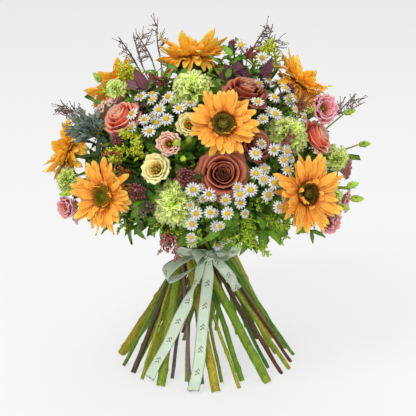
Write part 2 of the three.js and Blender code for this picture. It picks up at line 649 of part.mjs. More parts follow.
const SPRAYS = [
  { name: 'chamomile_left', colour: 'white', azimuth: -32, polar: 44, depth: 40,
    heads: patch('daisy', -32, 44, 30, 9, 1, 8) },
  { name: 'chamomile_low', colour: 'white', azimuth: 2, polar: 82, depth: 44,
    heads: patch('daisy', 2, 81, 30, 9, 1, 8) },
  { name: 'chamomile_right', colour: 'white', azimuth: 26, polar: 68, depth: 44,
    heads: patch('daisy', 26, 70, 36, 9, 1, 8) },
  { name: 'chamomile_high', colour: 'white', azimuth: 48, polar: 42, depth: 40,
    heads: patch('daisy', 48, 42, 36, 7, 1, 9) },
  { name: 'chamomile_back', colour: 'white', azimuth: 140, polar: 56, depth: 44,
    heads: patch('daisy', 140, 56, 40, 7, 1, 8) },
  { name: 'goldenrod_left', colour: 'gold', azimuth: -40, polar: 62, depth: 46,
    heads: patch('plume', -40, 62, 22, 4, 0.8, -18) },
  { name: 'goldenrod_high', colour: 'gold', azimuth: 104, polar: 24, depth: 40,
    heads: [...patch('plume', 106, 24, 20, 4, 0.9, 0, { face: 20 }),
      ...patch('plume', 72, 44, 10, 1, 0.8, -16)] },
  { name: 'goldenrod_left_high', colour: 'gold', azimuth: -92, polar: 36, depth: 42,
    heads: patch('plume', -92, 36, 26, 4, 0.8, -14) },
  { name: 'goldenrod_low', colour: 'gold', azimuth: 22, polar: 92, depth: 50,
    heads: patch('plume', 22, 94, 24, 4, 0.75, -20, { face: 108 }) },
  { name: 'goldenrod_back', colour: 'gold', azimuth: 178, polar: 96, depth: 50,
    heads: patch('plume', 178, 96, 40, 4, 0.8, -18) },
  { name: 'berries_left', colour: 'plum', azimuth: -36, polar: 76, depth: 44,
    heads: [...patch('berry', -50, 60, 1, 1, 0.95, -4), ...patch('berry', -30, 78, 1, 1, 1, -2),
      ...patch('berry', -17, 97, 1, 1, 0.8, -8)] },
  { name: 'berries_front', colour: 'plum', azimuth: -9, polar: 70, depth: 40,
    heads: patch('berry', -9, 70, 1, 1, 1, -4) },
  { name: 'berries_high', colour: 'plum', azimuth: 90, polar: 30, depth: 42,
    heads: [...patch('berry', 74, 36, 1, 1, 0.9, 2), ...patch('berry', 128, 20, 1, 1, 0.9, 8),
      ...patch('berry', 160, 52, 1, 1, 0.9, 0)] },
  { name: 'twigs_left_high', colour: 'twig', azimuth: -112, polar: 28, depth: 26,
    heads: patch('twig', -114, 27, 24, 4, 0.95, 10) },
  { name: 'twigs_left', colour: 'twig', azimuth: -93, polar: 64, depth: 26,
    heads: patch('twig', -93, 62, 12, 3, 0.85, 6) },
  { name: 'twigs_right', colour: 'twig', azimuth: 100, polar: 50, depth: 40,
    heads: [...patch('twig', 118, 26, 22, 3, 0.9, 8), ...patch('twig', 92, 62, 14, 2, 0.9, 10)] },
  { name: 'dark_leaves_left', colour: 'purple', azimuth: -58, polar: 32, depth: 34,
    leaves: { shares: [0.005, 0.03, 0.07, 0.1, 0.14], long: 38, half: 9 } },
  { name: 'dark_leaves_right', colour: 'purple', azimuth: 60, polar: 27, depth: 30,
    leaves: { shares: [0.005, 0.03, 0.07, 0.1, 0.14], long: 40, half: 10 } },
  { name: 'blue_foliage', colour: 'blue', azimuth: -92, polar: 60, depth: 34,
    leaves: { shares: [0.005, 0.02, 0.04, 0.07, 0.1, 0.14], long: 36, half: 5 } },
  { name: 'green_foliage', colour: 'leaf', azimuth: 12, polar: 98, depth: 60,
    leaves: { shares: [0.005, 0.05, 0.1, 0.16, 0.22, 0.28, 0.34], long: 42, half: 12 } },
];

// ---------------------------------------------------------------- the tie
const BAND_SIDES = 18;
const TIE_CLEAR = 0.5; // from the stems to the twine round them

/** The inside of a band round the bundle at a height: it widens downwards, as the stems spread. */
function bandRadius(z, clear) {
  const below = Math.max(0, TIE_HEIGHT - z);
  return (TIE_RADIUS + clear + 0.24 * below) / Math.cos(Math.PI / BAND_SIDES);
}

/** A closed band round the bundle; its section is a list of points: how far out, and how high. */
function band(section, clear) {
  const points = [];
  const faces = [];
  const count = section.length;
  for (let k = 0; k < BAND_SIDES; k += 1) {
    const angle = (k / BAND_SIDES) * 2 * Math.PI;
    for (let i = 0; i < count; i += 1) {
      const [out, up] = section[i];
      const r = bandRadius(TIE_HEIGHT + up, clear) + out;
      points.push(V(r * Math.cos(angle), r * Math.sin(angle), TIE_HEIGHT + up));
      const [here, next] = [k * count, ((k + 1) % BAND_SIDES) * count];
      const j = (i + 1) % count;
      faces.push([here + i, next + i, next + j], [here + i, next + j, here + j]);
    }
  }
  return solid(points, faces);
}

/** Two turns of twine lying side by side round the stems, pulled into one band. */
function bindingTwine() {
  const full = TWINE_THICK;
  const nip = TWINE_THICK * 0.5;
  const section = [[0, -4.2], [full, -2.4], [nip, 0], [full, 2.4], [0, 4.2]];
  put('binding_twine', COLOURS.twine, band(section, TIE_CLEAR));
}

/** A flat strip of ribbon along a path; across and out give its width and its outer face. */
function strip(stations) {
  return loft(stations.map(({ point, across, out, pinch = 1 }) => {
    const side = across.clone().normalize().multiplyScalar((RIBBON_WIDTH / 2) * pinch);
    const face = out.clone().normalize().multiplyScalar(RIBBON_THICK / 2);
    return [
      point.clone().add(side).add(face), point.clone().sub(side).add(face),
      point.clone().sub(side).sub(face), point.clone().add(side).sub(face),
    ];
  }));
}

/** How far out the outermost stems reach at a height, with their own thickness. */
function coneRadius(z) {
  const share = 1 - Math.min(z, TIE_HEIGHT) / TIE_HEIGHT;
  const middle = TIE_RADIUS - SUNFLOWER_STEM;
  const twist = rad(FOOT_TWIST);
  const x = middle * (1 - share) + (FOOT_RADIUS + 3) * share * Math.cos(twist);
  const y = (FOOT_RADIUS + 3) * share * Math.sin(twist);
  return Math.hypot(x, y) + SUNFLOWER_STEM * 1.2;
}

/** A tail of the bow: it lies down the outside of the stems from the knot to a cut end. */
function ribbonTail({ from, to, end, steps, off }) {
  const start = TIE_HEIGHT - 2;
  return strip(Array.from({ length: steps + 1 }, (_, i) => {
    const share = i / steps;
    const azimuth = from + (to - from) * share;
    const z = start + (end - start) * share;
    const out = direction(azimuth, 90);
    const r = coneRadius(z) + off + 4 * Math.sin(Math.PI * Math.min(1, share * 1.2 + 0.12));
    const lean = V(-out.y, out.x, 0.01 * (to - from));
    const face = out.clone().addScaledVector(UP, 0.5);
    return { point: out.clone().multiplyScalar(r).setZ(z), across: lean, out: face, pinch: i ? 1 : 0.45 };
  }));
}

/** A loop of the bow, out from the knot and back, as a leaning teardrop. */
function ribbonLoop(knot, reach, drop, width, steps) {
  return strip(Array.from({ length: steps + 1 }, (_, i) => {
    const turn = (i / steps) * 2 * Math.PI;
    const far = (1 - Math.cos(turn)) / 2;
    const open = Math.sin(turn) * Math.sqrt(far) * width;
    const point = V(knot.x + reach * far, knot.y - 10 * far + 0.3 * open, knot.z + drop * far + open);
    const out = V(Math.sign(reach) * (far * 2 - 1), -0.3, Math.cos(turn / 2));
    const pinch = i && i < steps ? 1 : 0.4;
    return { point, across: V(0.25 * Math.sign(reach), 0.85, 0.45), out, pinch };
  }));
}

/** The ribbon: a wrap over the twine, the knot in front, its loops and its three tails. */
function ribbonBow() {
  const half = RIBBON_WIDTH / 2;
  const wrap = [[0, -half], [RIBBON_THICK, -half], [RIBBON_THICK, half], [0, half]];
  const knot = V(2, -(TIE_RADIUS + 8.5), TIE_HEIGHT + 1);
  const folds = [[-9, 3.5], [-4, 7.5], [0, 5.5], [4, 7.5], [9, 3]].map(([x, r]) => {
    return Array.from({ length: 6 }, (_, k) => {
      const angle = (k / 6) * 2 * Math.PI;
      return V(knot.x + x, knot.y + 0.62 * r * Math.cos(angle), knot.z + r * Math.sin(angle));
    });
  });
  const parts = [
    band(wrap, TIE_CLEAR + TWINE_THICK + 0.6),
    loft(folds),
    ribbonTail({ from: -4, to: -31, end: 13, steps: 5, off: 1.4 }),
    ribbonTail({ from: 3, to: -7, end: 6, steps: 5, off: 4.4 }),
    ribbonTail({ from: 10, to: 44, end: 103, steps: 3, off: 2.9 }),
    ribbonLoop(knot, -52, -22, 11, 9),
    ribbonLoop(knot, 27, 9, 7, 7),
  ];
  parts.forEach((body) => put('ribbon_bow', COLOURS.ribbon, body));
}

// ---------------------------------------------------------------- putting the bouquet together
const headAxes = (bloom) => {
  return axesAt(domePoint(bloom.azimuth, bloom.polar, bloom.lift), direction(...bloom.face), 0.3);
};

/** The axes of the fork of a spray, which lies under the dome. */
const forkAxes = ({ azimuth, polar, depth = 46 }) => {
  return axesAt(domePoint(azimuth, polar, -depth), direction(azimuth, polar * 0.85));
};

for (const bloom of SUNFLOWERS) {
  const axes = headAxes(bloom);
  const head = { axes, rings: sunflowerRings(axes), seatHeight: -13 };
  member(`${bloom.name}_stem`, COLOURS.olive, bloom, SUNFLOWER_STEM, head);
}
for (const bloom of ROSES) {
  const axes = headAxes(bloom);
  const head = { axes, rings: roseCup(axes, bloom.size), seatHeight: -9 * bloom.size };
  member(`${bloom.name}_stem`, COLOURS.leaf, bloom, ROSE_STEM, head);
}
for (const bloom of CARNATIONS) {
  const axes = headAxes(bloom);
  const head = { axes, rings: carnationRings(axes, bloom.size), seatHeight: -24 * bloom.size };
  member(bloom.name, COLOURS.lime, bloom, CARNATION_STEM, head);
}
for (const branch of [...LISIANTHUS, ...SPRAYS]) {
  const fork = { axes: forkAxes(branch), seatHeight: 0, sides: 4, taper: 0.6 };
  member(branch.name, COLOURS[branch.colour], branch, SPRAY_STEM, fork);
}
const stemOf = (name) => members.find((stem) => stem.name === name);

fillBundle();
bindingTwine();
ribbonBow();
for (const { name, rings } of members) if (rings) reserve(name, loft(rings));
for (const bloom of ROSES) {
  put(`${bloom.name}_petals`, COLOURS[bloom.colour], rosePetals(headAxes(bloom), bloom.size));
}
members.filter((stem) => !growStem(stem, false)).forEach((stem) => growStem(stem, true));
for (const bloom of ROSES) {
  growLeaves(stemOf(`${bloom.name}_stem`), { shares: [0.1, 0.24], long: 32, half: 9 });
}
for (const bloom of SUNFLOWERS) sunflowerRays(bloom.name, headAxes(bloom), bloom.reach, bloom.cup);
for (const branch of [...LISIANTHUS, ...SPRAYS]) {
  const stem = stemOf(branch.name);
  for (const head of branch.heads ?? []) growBranch(stem, head);
  if (branch.leaves) growLeaves(stem, branch.leaves);
}

/** One solid of everything that a piece is made of; a scrap that doesn't hold to it is dropped. */
function fused(bodies) {
  const parts = Manifold.union(bodies).asOriginal().simplify(0.02).decompose();
  return parts.reduce((best, part) => (part.volume() > best.volume() ? part : best));
}

const bouquet = new THREE.Group();
const whole = new THREE.Box3();
for (const [name, { colour, bodies }] of pieces) {
  const { vertProperties, triVerts, numProp } = fused(bodies).getMesh();
  const spots = new Float32Array((vertProperties.length / numProp) * 3);
  for (let i = 0; i * numProp < vertProperties.length; i += 1) {
    spots.set(vertProperties.subarray(i * numProp, i * numProp + 3), i * 3);
  }
  const shape = new THREE.BufferGeometry();
  shape.setAttribute('position', new THREE.BufferAttribute(spots, 3));
  shape.setIndex(new THREE.BufferAttribute(triVerts, 1));
  shape.computeBoundingBox();
  whole.union(shape.boundingBox);
  const finish = new THREE.MeshStandardMaterial({ color: colour, roughness: 0.65, metalness: 0 });
  const piece = new THREE.Mesh(shape, finish);
  piece.name = name;
  bouquet.add(piece);
}
// The origin lies under the middle of the whole bouquet, on the surface that it stands on.
const middle = whole.getCenter(V(0, 0, 0));
bouquet.position.set(-middle.x, -middle.y, -whole.min.z);
bouquet.updateMatrixWorld(true);

export default bouquet;
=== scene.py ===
import math
import random
from itertools import islice
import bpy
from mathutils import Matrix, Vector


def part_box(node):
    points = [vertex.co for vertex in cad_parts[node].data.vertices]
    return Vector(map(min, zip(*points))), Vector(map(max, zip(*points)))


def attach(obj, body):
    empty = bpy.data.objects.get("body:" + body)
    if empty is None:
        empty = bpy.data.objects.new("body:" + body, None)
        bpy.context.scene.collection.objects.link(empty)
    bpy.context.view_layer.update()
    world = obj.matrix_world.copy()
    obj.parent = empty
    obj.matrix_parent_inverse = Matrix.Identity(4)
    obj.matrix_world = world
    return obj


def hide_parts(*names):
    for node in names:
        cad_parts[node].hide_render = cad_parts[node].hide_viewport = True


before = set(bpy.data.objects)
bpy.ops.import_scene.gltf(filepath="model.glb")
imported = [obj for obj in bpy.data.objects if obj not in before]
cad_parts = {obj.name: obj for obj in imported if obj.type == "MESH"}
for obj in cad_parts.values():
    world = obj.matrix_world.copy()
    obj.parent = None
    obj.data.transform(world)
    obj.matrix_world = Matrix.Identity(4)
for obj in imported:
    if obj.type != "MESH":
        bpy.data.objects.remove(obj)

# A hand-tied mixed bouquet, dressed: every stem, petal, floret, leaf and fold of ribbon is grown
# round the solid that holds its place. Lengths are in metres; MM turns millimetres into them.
from types import SimpleNamespace

import bmesh
import bpy
import numpy as np
from mathutils import Matrix, Quaternion, Vector
from mathutils.bvhtree import BVHTree

MM = 0.001
GOLDEN = math.radians(137.508)
for left_over in ("Cube", "Camera", "Light"):
    if left_over in bpy.data.objects:
        bpy.data.objects.remove(bpy.data.objects[left_over])
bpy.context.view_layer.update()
TWINE_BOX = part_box("binding_twine")
TIE = (TWINE_BOX[0] + TWINE_BOX[1]) / 2  # the middle of the tie, on the bouquet's axis
DOME_MIDDLE = Vector((TIE.x, TIE.y, 0.225))
BASE = Vector((TIE.x, TIE.y, 0))  # where the bouquet's axis meets the floor
chance = random.Random(71)


# ---------------------------------------------------------------- reading the solids
class Solid:
    """A merged copy of a node's mesh: its corners, who is next to whom, and a tree for rays."""

    def __init__(self, node):
        copy = bmesh.new()
        copy.from_mesh(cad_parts[node].data)
        bmesh.ops.remove_doubles(copy, verts=copy.verts, dist=2e-6)
        copy.verts.index_update()
        self.points = [v.co.copy() for v in copy.verts]
        self.near = [{e.other_vert(v).index for e in v.link_edges} for v in copy.verts]
        self.tree = BVHTree.FromBMesh(copy)
        copy.free()

    def layers(self, tip):
        """The rings of corners round a tip, one after the other."""
        seen, layer = {tip}, {tip}
        while layer:
            yield [self.points[i] for i in sorted(layer)]
            layer = set().union(*(self.near[i] for i in layer)) - seen
            seen |= layer


def centre(points):
    return sum(points, Vector()) / len(points)


def around(along, angle):
    """A direction square to another one, turned round it by an angle."""
    return Quaternion(along, angle) @ along.orthogonal().normalized()


def stray(reach=1):
    """A random offset of up to reach each way."""
    return Vector([chance.uniform(-reach, reach) for _ in range(3)])


def spot_at(place):
    """A place given in millimetres from where the bouquet's axis meets the floor."""
    return BASE + Vector(place) * MM


# the corners in each ring round a head's tip, and how far at least the tip stands over the first
# ring, as a share of that ring's radius; these tell the kinds of heads apart
HEADS = {"sunflower": ((10,) * 7, 0.0), "rose": ((15,) * 7, 0.0), "carnation": ((12,) * 7 + (6, 6), 0.0),
         "bowl": ((4, 8, 15, 8), 1.0), "bud": ((4, 4, 4, 3), 1.0), "daisy": ((12, 3), 0.2),
         "plume": ((4,) * 6, 1.0), "cluster": ((8,) * 4, 0.0), "twig": ((3,) * 9, 1.0)}


def heads_of(solid, kind):
    """Finds a solid's heads of a kind: each as its tip, its rings and the middles of its stalk."""
    counts, sharp = HEADS[kind]
    found = []
    for tip, near in enumerate(solid.near):
        if len(near) != counts[0]:
            continue
        rings = list(islice(solid.layers(tip), len(counts) + 4))
        sizes = [len(ring) for ring in rings[1:]]
        if tuple(sizes[:len(counts)]) != counts:
            continue
        first = centre(rings[1])
        wide = max((p - first).length for p in rings[1])
        if (rings[0][0] - first).length < sharp * wide:
            continue
        head = rings[1:1 + len(counts)]
        tail = [centre(ring) for ring in rings[1 + len(counts):] if len(ring) == 3][:2]
        found.append({"tip": rings[0][0], "rings": head, "stalk": tail})
    return found


def fit(head, ring, long):
    """A head's seat, way and size, from one of its rings and the usual length from there to its tip."""
    seat = centre(head["rings"][ring])
    away = head["tip"] - seat
    return seat, away.normalized(), away.length / (long * MM)


PROBES = 12  # rays cast round a place in a stem, to find the stem's middle
LEAST_INSIDE = 7  # with fewer of them starting inside the solid, the stem has ended
MOST_STEPS = 400


def probe(solid, here, along, radius):
    """The shift from a place to the stem's middle, and how many rays from it start inside."""
    reach, inside = [], 0
    for k in range(PROBES):
        way = around(along, 2 * math.pi * k / PROBES)
        _, normal, _, far = solid.tree.ray_cast(here, way, radius * 2.4)
        reach.append((way, far))
        inside += far is not None and normal.dot(way) > 0
    shift = Vector()
    for (way, out), (_, back) in zip(reach, reach[PROBES // 2:]):
        if out is not None and back is not None:
            shift += way * (out - back) / 2
    return shift * (2 / (PROBES // 2)), inside


def trace_stem(solid, radius):
    """The middle line of a stem from its cut end, through the tie, up to its head or its fork."""
    foot_set = [i for i, p in enumerate(solid.points) if p.z < 0.02 * MM]
    foot = centre([solid.points[i] for i in foot_set])
    above = set().union(*(solid.near[i] for i in foot_set)) - set(foot_set)
    tie = centre([solid.points[i] for i in above])
    along = (tie - foot).normalized()
    line = [foot, *[foot.lerp(tie, share) for share in (0.25, 0.5, 0.75)], tie]
    here, step = tie, radius * 0.7
    for _ in range(MOST_STEPS):
        here = here + along * step
        for _ in range(2):
            shift, inside = probe(solid, here, along, radius)
            here = here + shift
        if inside < LEAST_INSIDE:
            break
        along = (along * 0.6 + (here - line[-1]).normalized() * 0.4).normalized()
        line.append(here)
    return smooth_line([*line[:5], *line[7:-1:4], line[-1]])


def smooth_line(line, rounds=3):
    for _ in range(rounds):
        line = [line[0], *[(a + b * 2 + c) / 4 for a, b, c in zip(line, line[1:], line[2:])], line[-1]]
    return line


class Line:
    """A polyline with a length, read at distances from its last point, which is its head."""

    def __init__(self, points):
        self.points = points[::-1]
        steps = [(b - a).length for a, b in zip(self.points, self.points[1:])]
        self.marks = np.concatenate([[0], np.cumsum(steps)])
        self.length = float(self.marks[-1])

    def at(self, far):
        """The point at a distance from the head, and the direction towards the head there."""
        far = min(max(far, 0), self.length * 0.999)
        i = min(int(np.searchsorted(self.marks, far, side="right")) - 1, len(self.points) - 2)
        a, b = self.points[i], self.points[i + 1]
        share = (far - self.marks[i]) / max(self.marks[i + 1] - self.marks[i], 1e-9)
        return a.lerp(b, share), (a - b).normalized()

    def nearest(self, spot):
        """The distance from the head of the point on the line nearest to a spot."""
        marks = np.linspace(0, self.length, 80)
        return min(marks, key=lambda m: (self.at(m)[0] - spot).length)


# ---------------------------------------------------------------- shader maths
def operator(operation, swapped=False):
    """Python's operator of two values, as a Math node; swapped is its reflected form."""
    def apply(self, other):
        pair = (other, self) if swapped else (self, other)
        return self.maths(operation, *pair)
    return apply


class Wire:
    """A node's output, on which Python's operators add Math nodes."""

    def __init__(self, paint, socket):
        self.paint, self.socket = paint, socket

    def maths(self, operation, *values):
        return self.paint.node("ShaderNodeMath", {"operation": operation}, dict(enumerate(values)))

    __add__ = operator("ADD")
    __radd__ = operator("ADD", swapped=True)
    __sub__ = operator("SUBTRACT")
    __rsub__ = operator("SUBTRACT", swapped=True)
    __mul__ = operator("MULTIPLY")
    __rmul__ = operator("MULTIPLY", swapped=True)
    __truediv__ = operator("DIVIDE")
    __pow__ = operator("POWER")
    __lt__ = operator("LESS_THAN")

    def absolute(self):
        return self.maths("ABSOLUTE", self)

    def sine(self):
        return self.maths("SINE", self)

    def fraction(self):
        return self.maths("FRACT", self)

    def clamped(self):
        return self.paint.node("ShaderNodeClamp", {}, {"Value": self})


def feed(links, socket, value):
    """Links an input to another node's output, or sets it to a constant."""
    value = value.socket if isinstance(value, Wire) else value
    if isinstance(value, bpy.types.NodeSocket):
        links.new(value, socket)
    elif socket.type == "RGBA" and len(value) == 3:
        socket.default_value = (*value, 1)
    else:
        socket.default_value = value


def set_stops(ramp, stops):
    while len(ramp.elements) < len(stops):
        ramp.elements.new(0.5)
    for stop, (place, colour) in zip(ramp.elements, stops):
        stop.position, stop.color = place, (*colour, 1)


def add_node(tree, kind, settings=None, values=None):
    """Adds a node: first its settings, or a ramp's stops, then the values or links of its inputs."""
    made = tree.nodes.new(kind)
    for key, value in (settings or {}).items():
        if key == "stops":
            set_stops(made.color_ramp, value)
        else:
            setattr(made, key, value)
    for key, value in (values or {}).items():
        feed(tree.links, made.inputs[key], value)
    return made


class Paint:
    """A material being mixed: node() adds any node, and finish() sets the surface's sockets."""

    def __init__(self, name):
        self.material = bpy.data.materials.new(name)
        self.material.use_nodes = True
        self.tree = self.material.node_tree
        self.surface = self.tree.nodes["Principled BSDF"]

    def node(self, kind, settings=None, values=None, out=0):
        return Wire(self, add_node(self.tree, kind, settings, values).outputs[out])

    def mix(self, share, a, b, how="MIX"):
        """Two colours mixed by a share, from 0 for the first to 1 for the second."""
        settings = {"data_type": "RGBA", "blend_type": how}
        return self.node("ShaderNodeMix", settings, {0: share, 6: a, 7: b}, out=2)

    def uv(self):
        """Across and along, both from 0 to 1, of a petal, leaf or ribbon."""
        across = self.node("ShaderNodeSeparateXYZ", {}, {0: self.node("ShaderNodeTexCoord", out=2)})
        return across, Wire(self, across.socket.node.outputs[1])

    def place(self):
        return self.node("ShaderNodeTexCoord", out=3)

    def own(self, name):
        """A number that each copy of a shape carries."""
        return self.node("ShaderNodeAttribute", {"attribute_name": name}, out=2)

    def noise(self, where, scale, detail=3.0, rough=0.5):
        values = {"Vector": where, "Scale": scale, "Detail": detail, "Roughness": rough}
        return self.node("ShaderNodeTexNoise", {}, values)

    def vector(self, x, y, z=0.0):
        return self.node("ShaderNodeCombineXYZ", {}, {0: x, 1: y, 2: z})

    def ramp(self, value, *stops):
        return self.node("ShaderNodeValToRGB", {"stops": stops}, {"Fac": value})

    def brighten(self, colour, share):
        """A colour made brighter or darker by a factor."""
        return self.mix(1.0, colour, self.vector(share, share, share), how="MULTIPLY")

    def finish(self, colour, roughness=0.5, height=None, depth=0.0004, **constants):
        varying = {"Base Color": colour, "Roughness": roughness}
        if height is not None:
            bump = {"Height": height, "Distance": depth, "Strength": 0.8}
            varying["Normal"] = self.node("ShaderNodeBump", {}, bump)
        for key, value in varying.items():
            feed(self.tree.links, self.surface.inputs[key], value)
        for key, value in constants.items():
            self.surface.inputs[key.replace("_", " ")].default_value = value
        return self.material


SOFT = {"Subsurface_Radius": (1.0, 0.75, 0.4), "Subsurface_Scale": 0.002, "Specular_IOR_Level": 0.25}


def petal_paint(name, root, body, tip, veins=16, vein=0.16, edge=None, fade=0.3, soft=0.45):
    """Petal colours from its root to its tip, with fine lengthwise veins and uneven tone."""
    p = Paint(name)
    across, along = p.uv()
    root, body, tip = tones(root, body, tip)
    colour = p.ramp(along, (0.0, root), (fade, body), (0.75, body), (1.0, tip))
    # edge paints the rims and the tip lighter: partly the petals' own paler edge, partly a painted highlight
    # along the rims.
    if edge:
        rim = ((across - 0.5).absolute() * 2) ** 5
        colour = p.mix((rim + along ** 9).clamped() * 0.8, colour, *tones(edge))
    wander = p.noise(p.vector(across * veins, along * 1.6, p.own("shade") * 9), 1.0, 3.0)
    cloud = p.noise(p.place(), 70.0)
    level = 0.82 + wander * vein * 2 + (cloud - 0.5) * 0.3 + (p.own("shade") - 0.5) * 0.3
    return p.finish(p.brighten(colour, level), 0.55, wander, 0.0005, Subsurface_Weight=soft, **SOFT)


def leaf_paint(name, body, rib, under, roughness=0.4, coat=0.15):
    """A leaf with a pale midrib, side veins that slant to the tip, and patches of tone."""
    p = Paint(name)
    across, along = p.uv()
    body, rib, under = tones(body, rib, under)
    side = (across - 0.5).absolute()
    midrib = (1 - side * 16).clamped()
    comb = ((along * 9 - side * 7).fraction() - 0.5).absolute() * 2
    veins = ((comb - 0.8) * 5).clamped() * 0.5
    cloud = p.noise(p.place(), 55.0, 4.0)
    shade = p.own("shade")
    colour = p.mix((cloud * 1.6 - 0.4).clamped() * 0.7, body, under)
    colour = p.mix((midrib * 0.6 + veins * 0.45).clamped(), colour, rib)
    colour = p.brighten(colour, 0.7 + shade * 0.6)
    return p.finish(colour, roughness, veins * -1 - midrib + cloud * 0.4, 0.0005,
                    Coat_Weight=coat, Subsurface_Weight=0.12, Subsurface_Scale=0.002, Specular_IOR_Level=0.3)


def stalk_paint(name, body, other, scar, roughness=0.5):
    """A stem's skin: long streaks, blotches of a second colour and small brown marks."""
    p = Paint(name)
    place = p.place()
    body, other, scar = tones(body, other, scar)
    streak = p.noise(p.node("ShaderNodeMapping", {}, {0: place, "Scale": (420, 420, 26)}), 1.0, 3.0)
    blotch = p.noise(place, 28.0, 4.0)
    speck = p.noise(place, 260.0, 2.0)
    shade = p.own("shade")
    colour = p.mix((blotch * 2.4 - 0.75 + (shade - 0.5) * 0.9).clamped(), body, other)
    colour = p.mix(((speck - 0.6) * 8).clamped() * 0.8, colour, scar)
    colour = p.brighten(colour, 0.2 + streak * 1.2)
    return p.finish(colour, roughness, streak + speck * 0.4, 0.0004,
                    Subsurface_Weight=0.05, Subsurface_Scale=0.002, Specular_IOR_Level=0.35)


# ---------------------------------------------------------------- meshes, copies and tubes
def mesh_piece(name, points, faces, material=None, uvs=None):
    """A mesh object from points in metres; uvs gives across and along for each point."""
    mesh = bpy.data.meshes.new(name)
    mesh.from_pydata([tuple(p) for p in points], [], [tuple(int(i) for i in f) for f in faces])
    if uvs is not None:
        layer = mesh.uv_layers.new(name="UVMap")
        corner = np.empty(len(mesh.loops), np.int32)
        mesh.loops.foreach_get("vertex_index", corner)
        layer.data.foreach_set("uv", np.asarray(uvs, np.float32)[corner].ravel())
    mesh.polygons.foreach_set("use_smooth", np.ones(len(mesh.polygons), bool))
    if material:
        mesh.materials.append(material)
    made = bpy.data.objects.new(name, mesh)
    bpy.context.scene.collection.objects.link(made)
    return made


def grid_faces(rows, columns, start=0, flip=False):
    faces = []
    for j in range(rows - 1):
        for i in range(columns - 1):
            a = start + j * columns + i
            face = (a, a + 1, a + columns + 1, a + columns)
            faces.append(face[::-1] if flip else face)
    return faces


def blade_parts(surface, across, along, thick):
    """
    The corners, faces and UVs of a thin closed leaf or petal. surface(u, v) gives its place in
    millimetres, u from -1 to 1 across and v from 0 to 1 along; its edge is sharp.
    """
    u, v = np.meshgrid(np.linspace(-1, 1, across + 1), np.linspace(0, 1, along + 1))
    middle = np.stack(np.broadcast_arrays(*surface(u, v)), -1).astype(float)
    normal = np.cross(np.gradient(middle, axis=1), np.gradient(middle, axis=0))
    normal /= np.maximum(np.linalg.norm(normal, axis=-1, keepdims=True), 1e-9)
    swell = np.sqrt(np.clip(1 - u ** 2, 0, 1)) * np.clip(1.15 - v, 0, 1) ** 0.5
    swell[0] = swell[-1] = 0
    offset = normal * (swell * thick / 2)[..., None]
    points = np.concatenate([(middle + offset).reshape(-1, 3), (middle - offset).reshape(-1, 3)])
    count = (across + 1) * (along + 1)
    faces = grid_faces(along + 1, across + 1) + grid_faces(along + 1, across + 1, count, flip=True)
    uvs = np.stack([(u + 1) / 2, v], -1).reshape(-1, 2)
    return points * MM, faces, np.concatenate([uvs, uvs])


def blade(name, surface, across=6, along=10, thick=0.5):
    """One leaf or petal as a shape of its own."""
    points, faces, uvs = blade_parts(surface, across, along, thick)
    made = mesh_piece(name, points, faces, uvs=uvs)
    weld(made.data)
    return made


class Petals:
    """Leaves or petals, each with its own surface, to be made into one piece."""

    def __init__(self, paint):
        self.paint, self.parts = paint, []

    def add(self, surface, axes, size=1.0, across=10, along=10, thick=0.5, shade=None, long=1.0):
        """A petal whose surface is given in the axes of its bloom; long scales its UV lengthwise."""
        points, faces, uvs = blade_parts(surface, across, along, thick)
        uvs = uvs * (1, long)
        turn = np.array(axes.matrix(size))
        self.parts.append((points @ turn[:3, :3].T + turn[:3, 3], faces, uvs,
                           chance.random() if shade is None else shade))

    def plant(self, name):
        points, faces, start = [], [], 0
        for corners, own_faces, _, _ in self.parts:
            faces += [tuple(i + start for i in face) for face in own_faces]
            start += len(corners)
            points.append(corners)
        uvs = np.concatenate([part[2] for part in self.parts])
        made = mesh_piece(name, np.concatenate(points), faces, self.paint, uvs)
        give_shades(made.data, [np.full(len(part[0]), part[3]) for part in self.parts])
        weld(made.data)
        return made


def give_shades(mesh, shades):
    """Lets each copy's corners carry its own shade, for the paints to read."""
    layer = mesh.attributes.new("shade", "FLOAT", "POINT")
    layer.data.foreach_set("value", np.concatenate(shades).astype(np.float32))


def weld(mesh):
    """Merges the corners that two sheets share, drops faces that this empties, and turns all out."""
    tidy = bmesh.new()
    tidy.from_mesh(mesh)
    bmesh.ops.remove_doubles(tidy, verts=tidy.verts, dist=1e-7)
    bmesh.ops.dissolve_degenerate(tidy, edges=tidy.edges, dist=1e-8)
    bmesh.ops.recalc_face_normals(tidy, faces=tidy.faces)
    tidy.to_mesh(mesh)
    tidy.free()


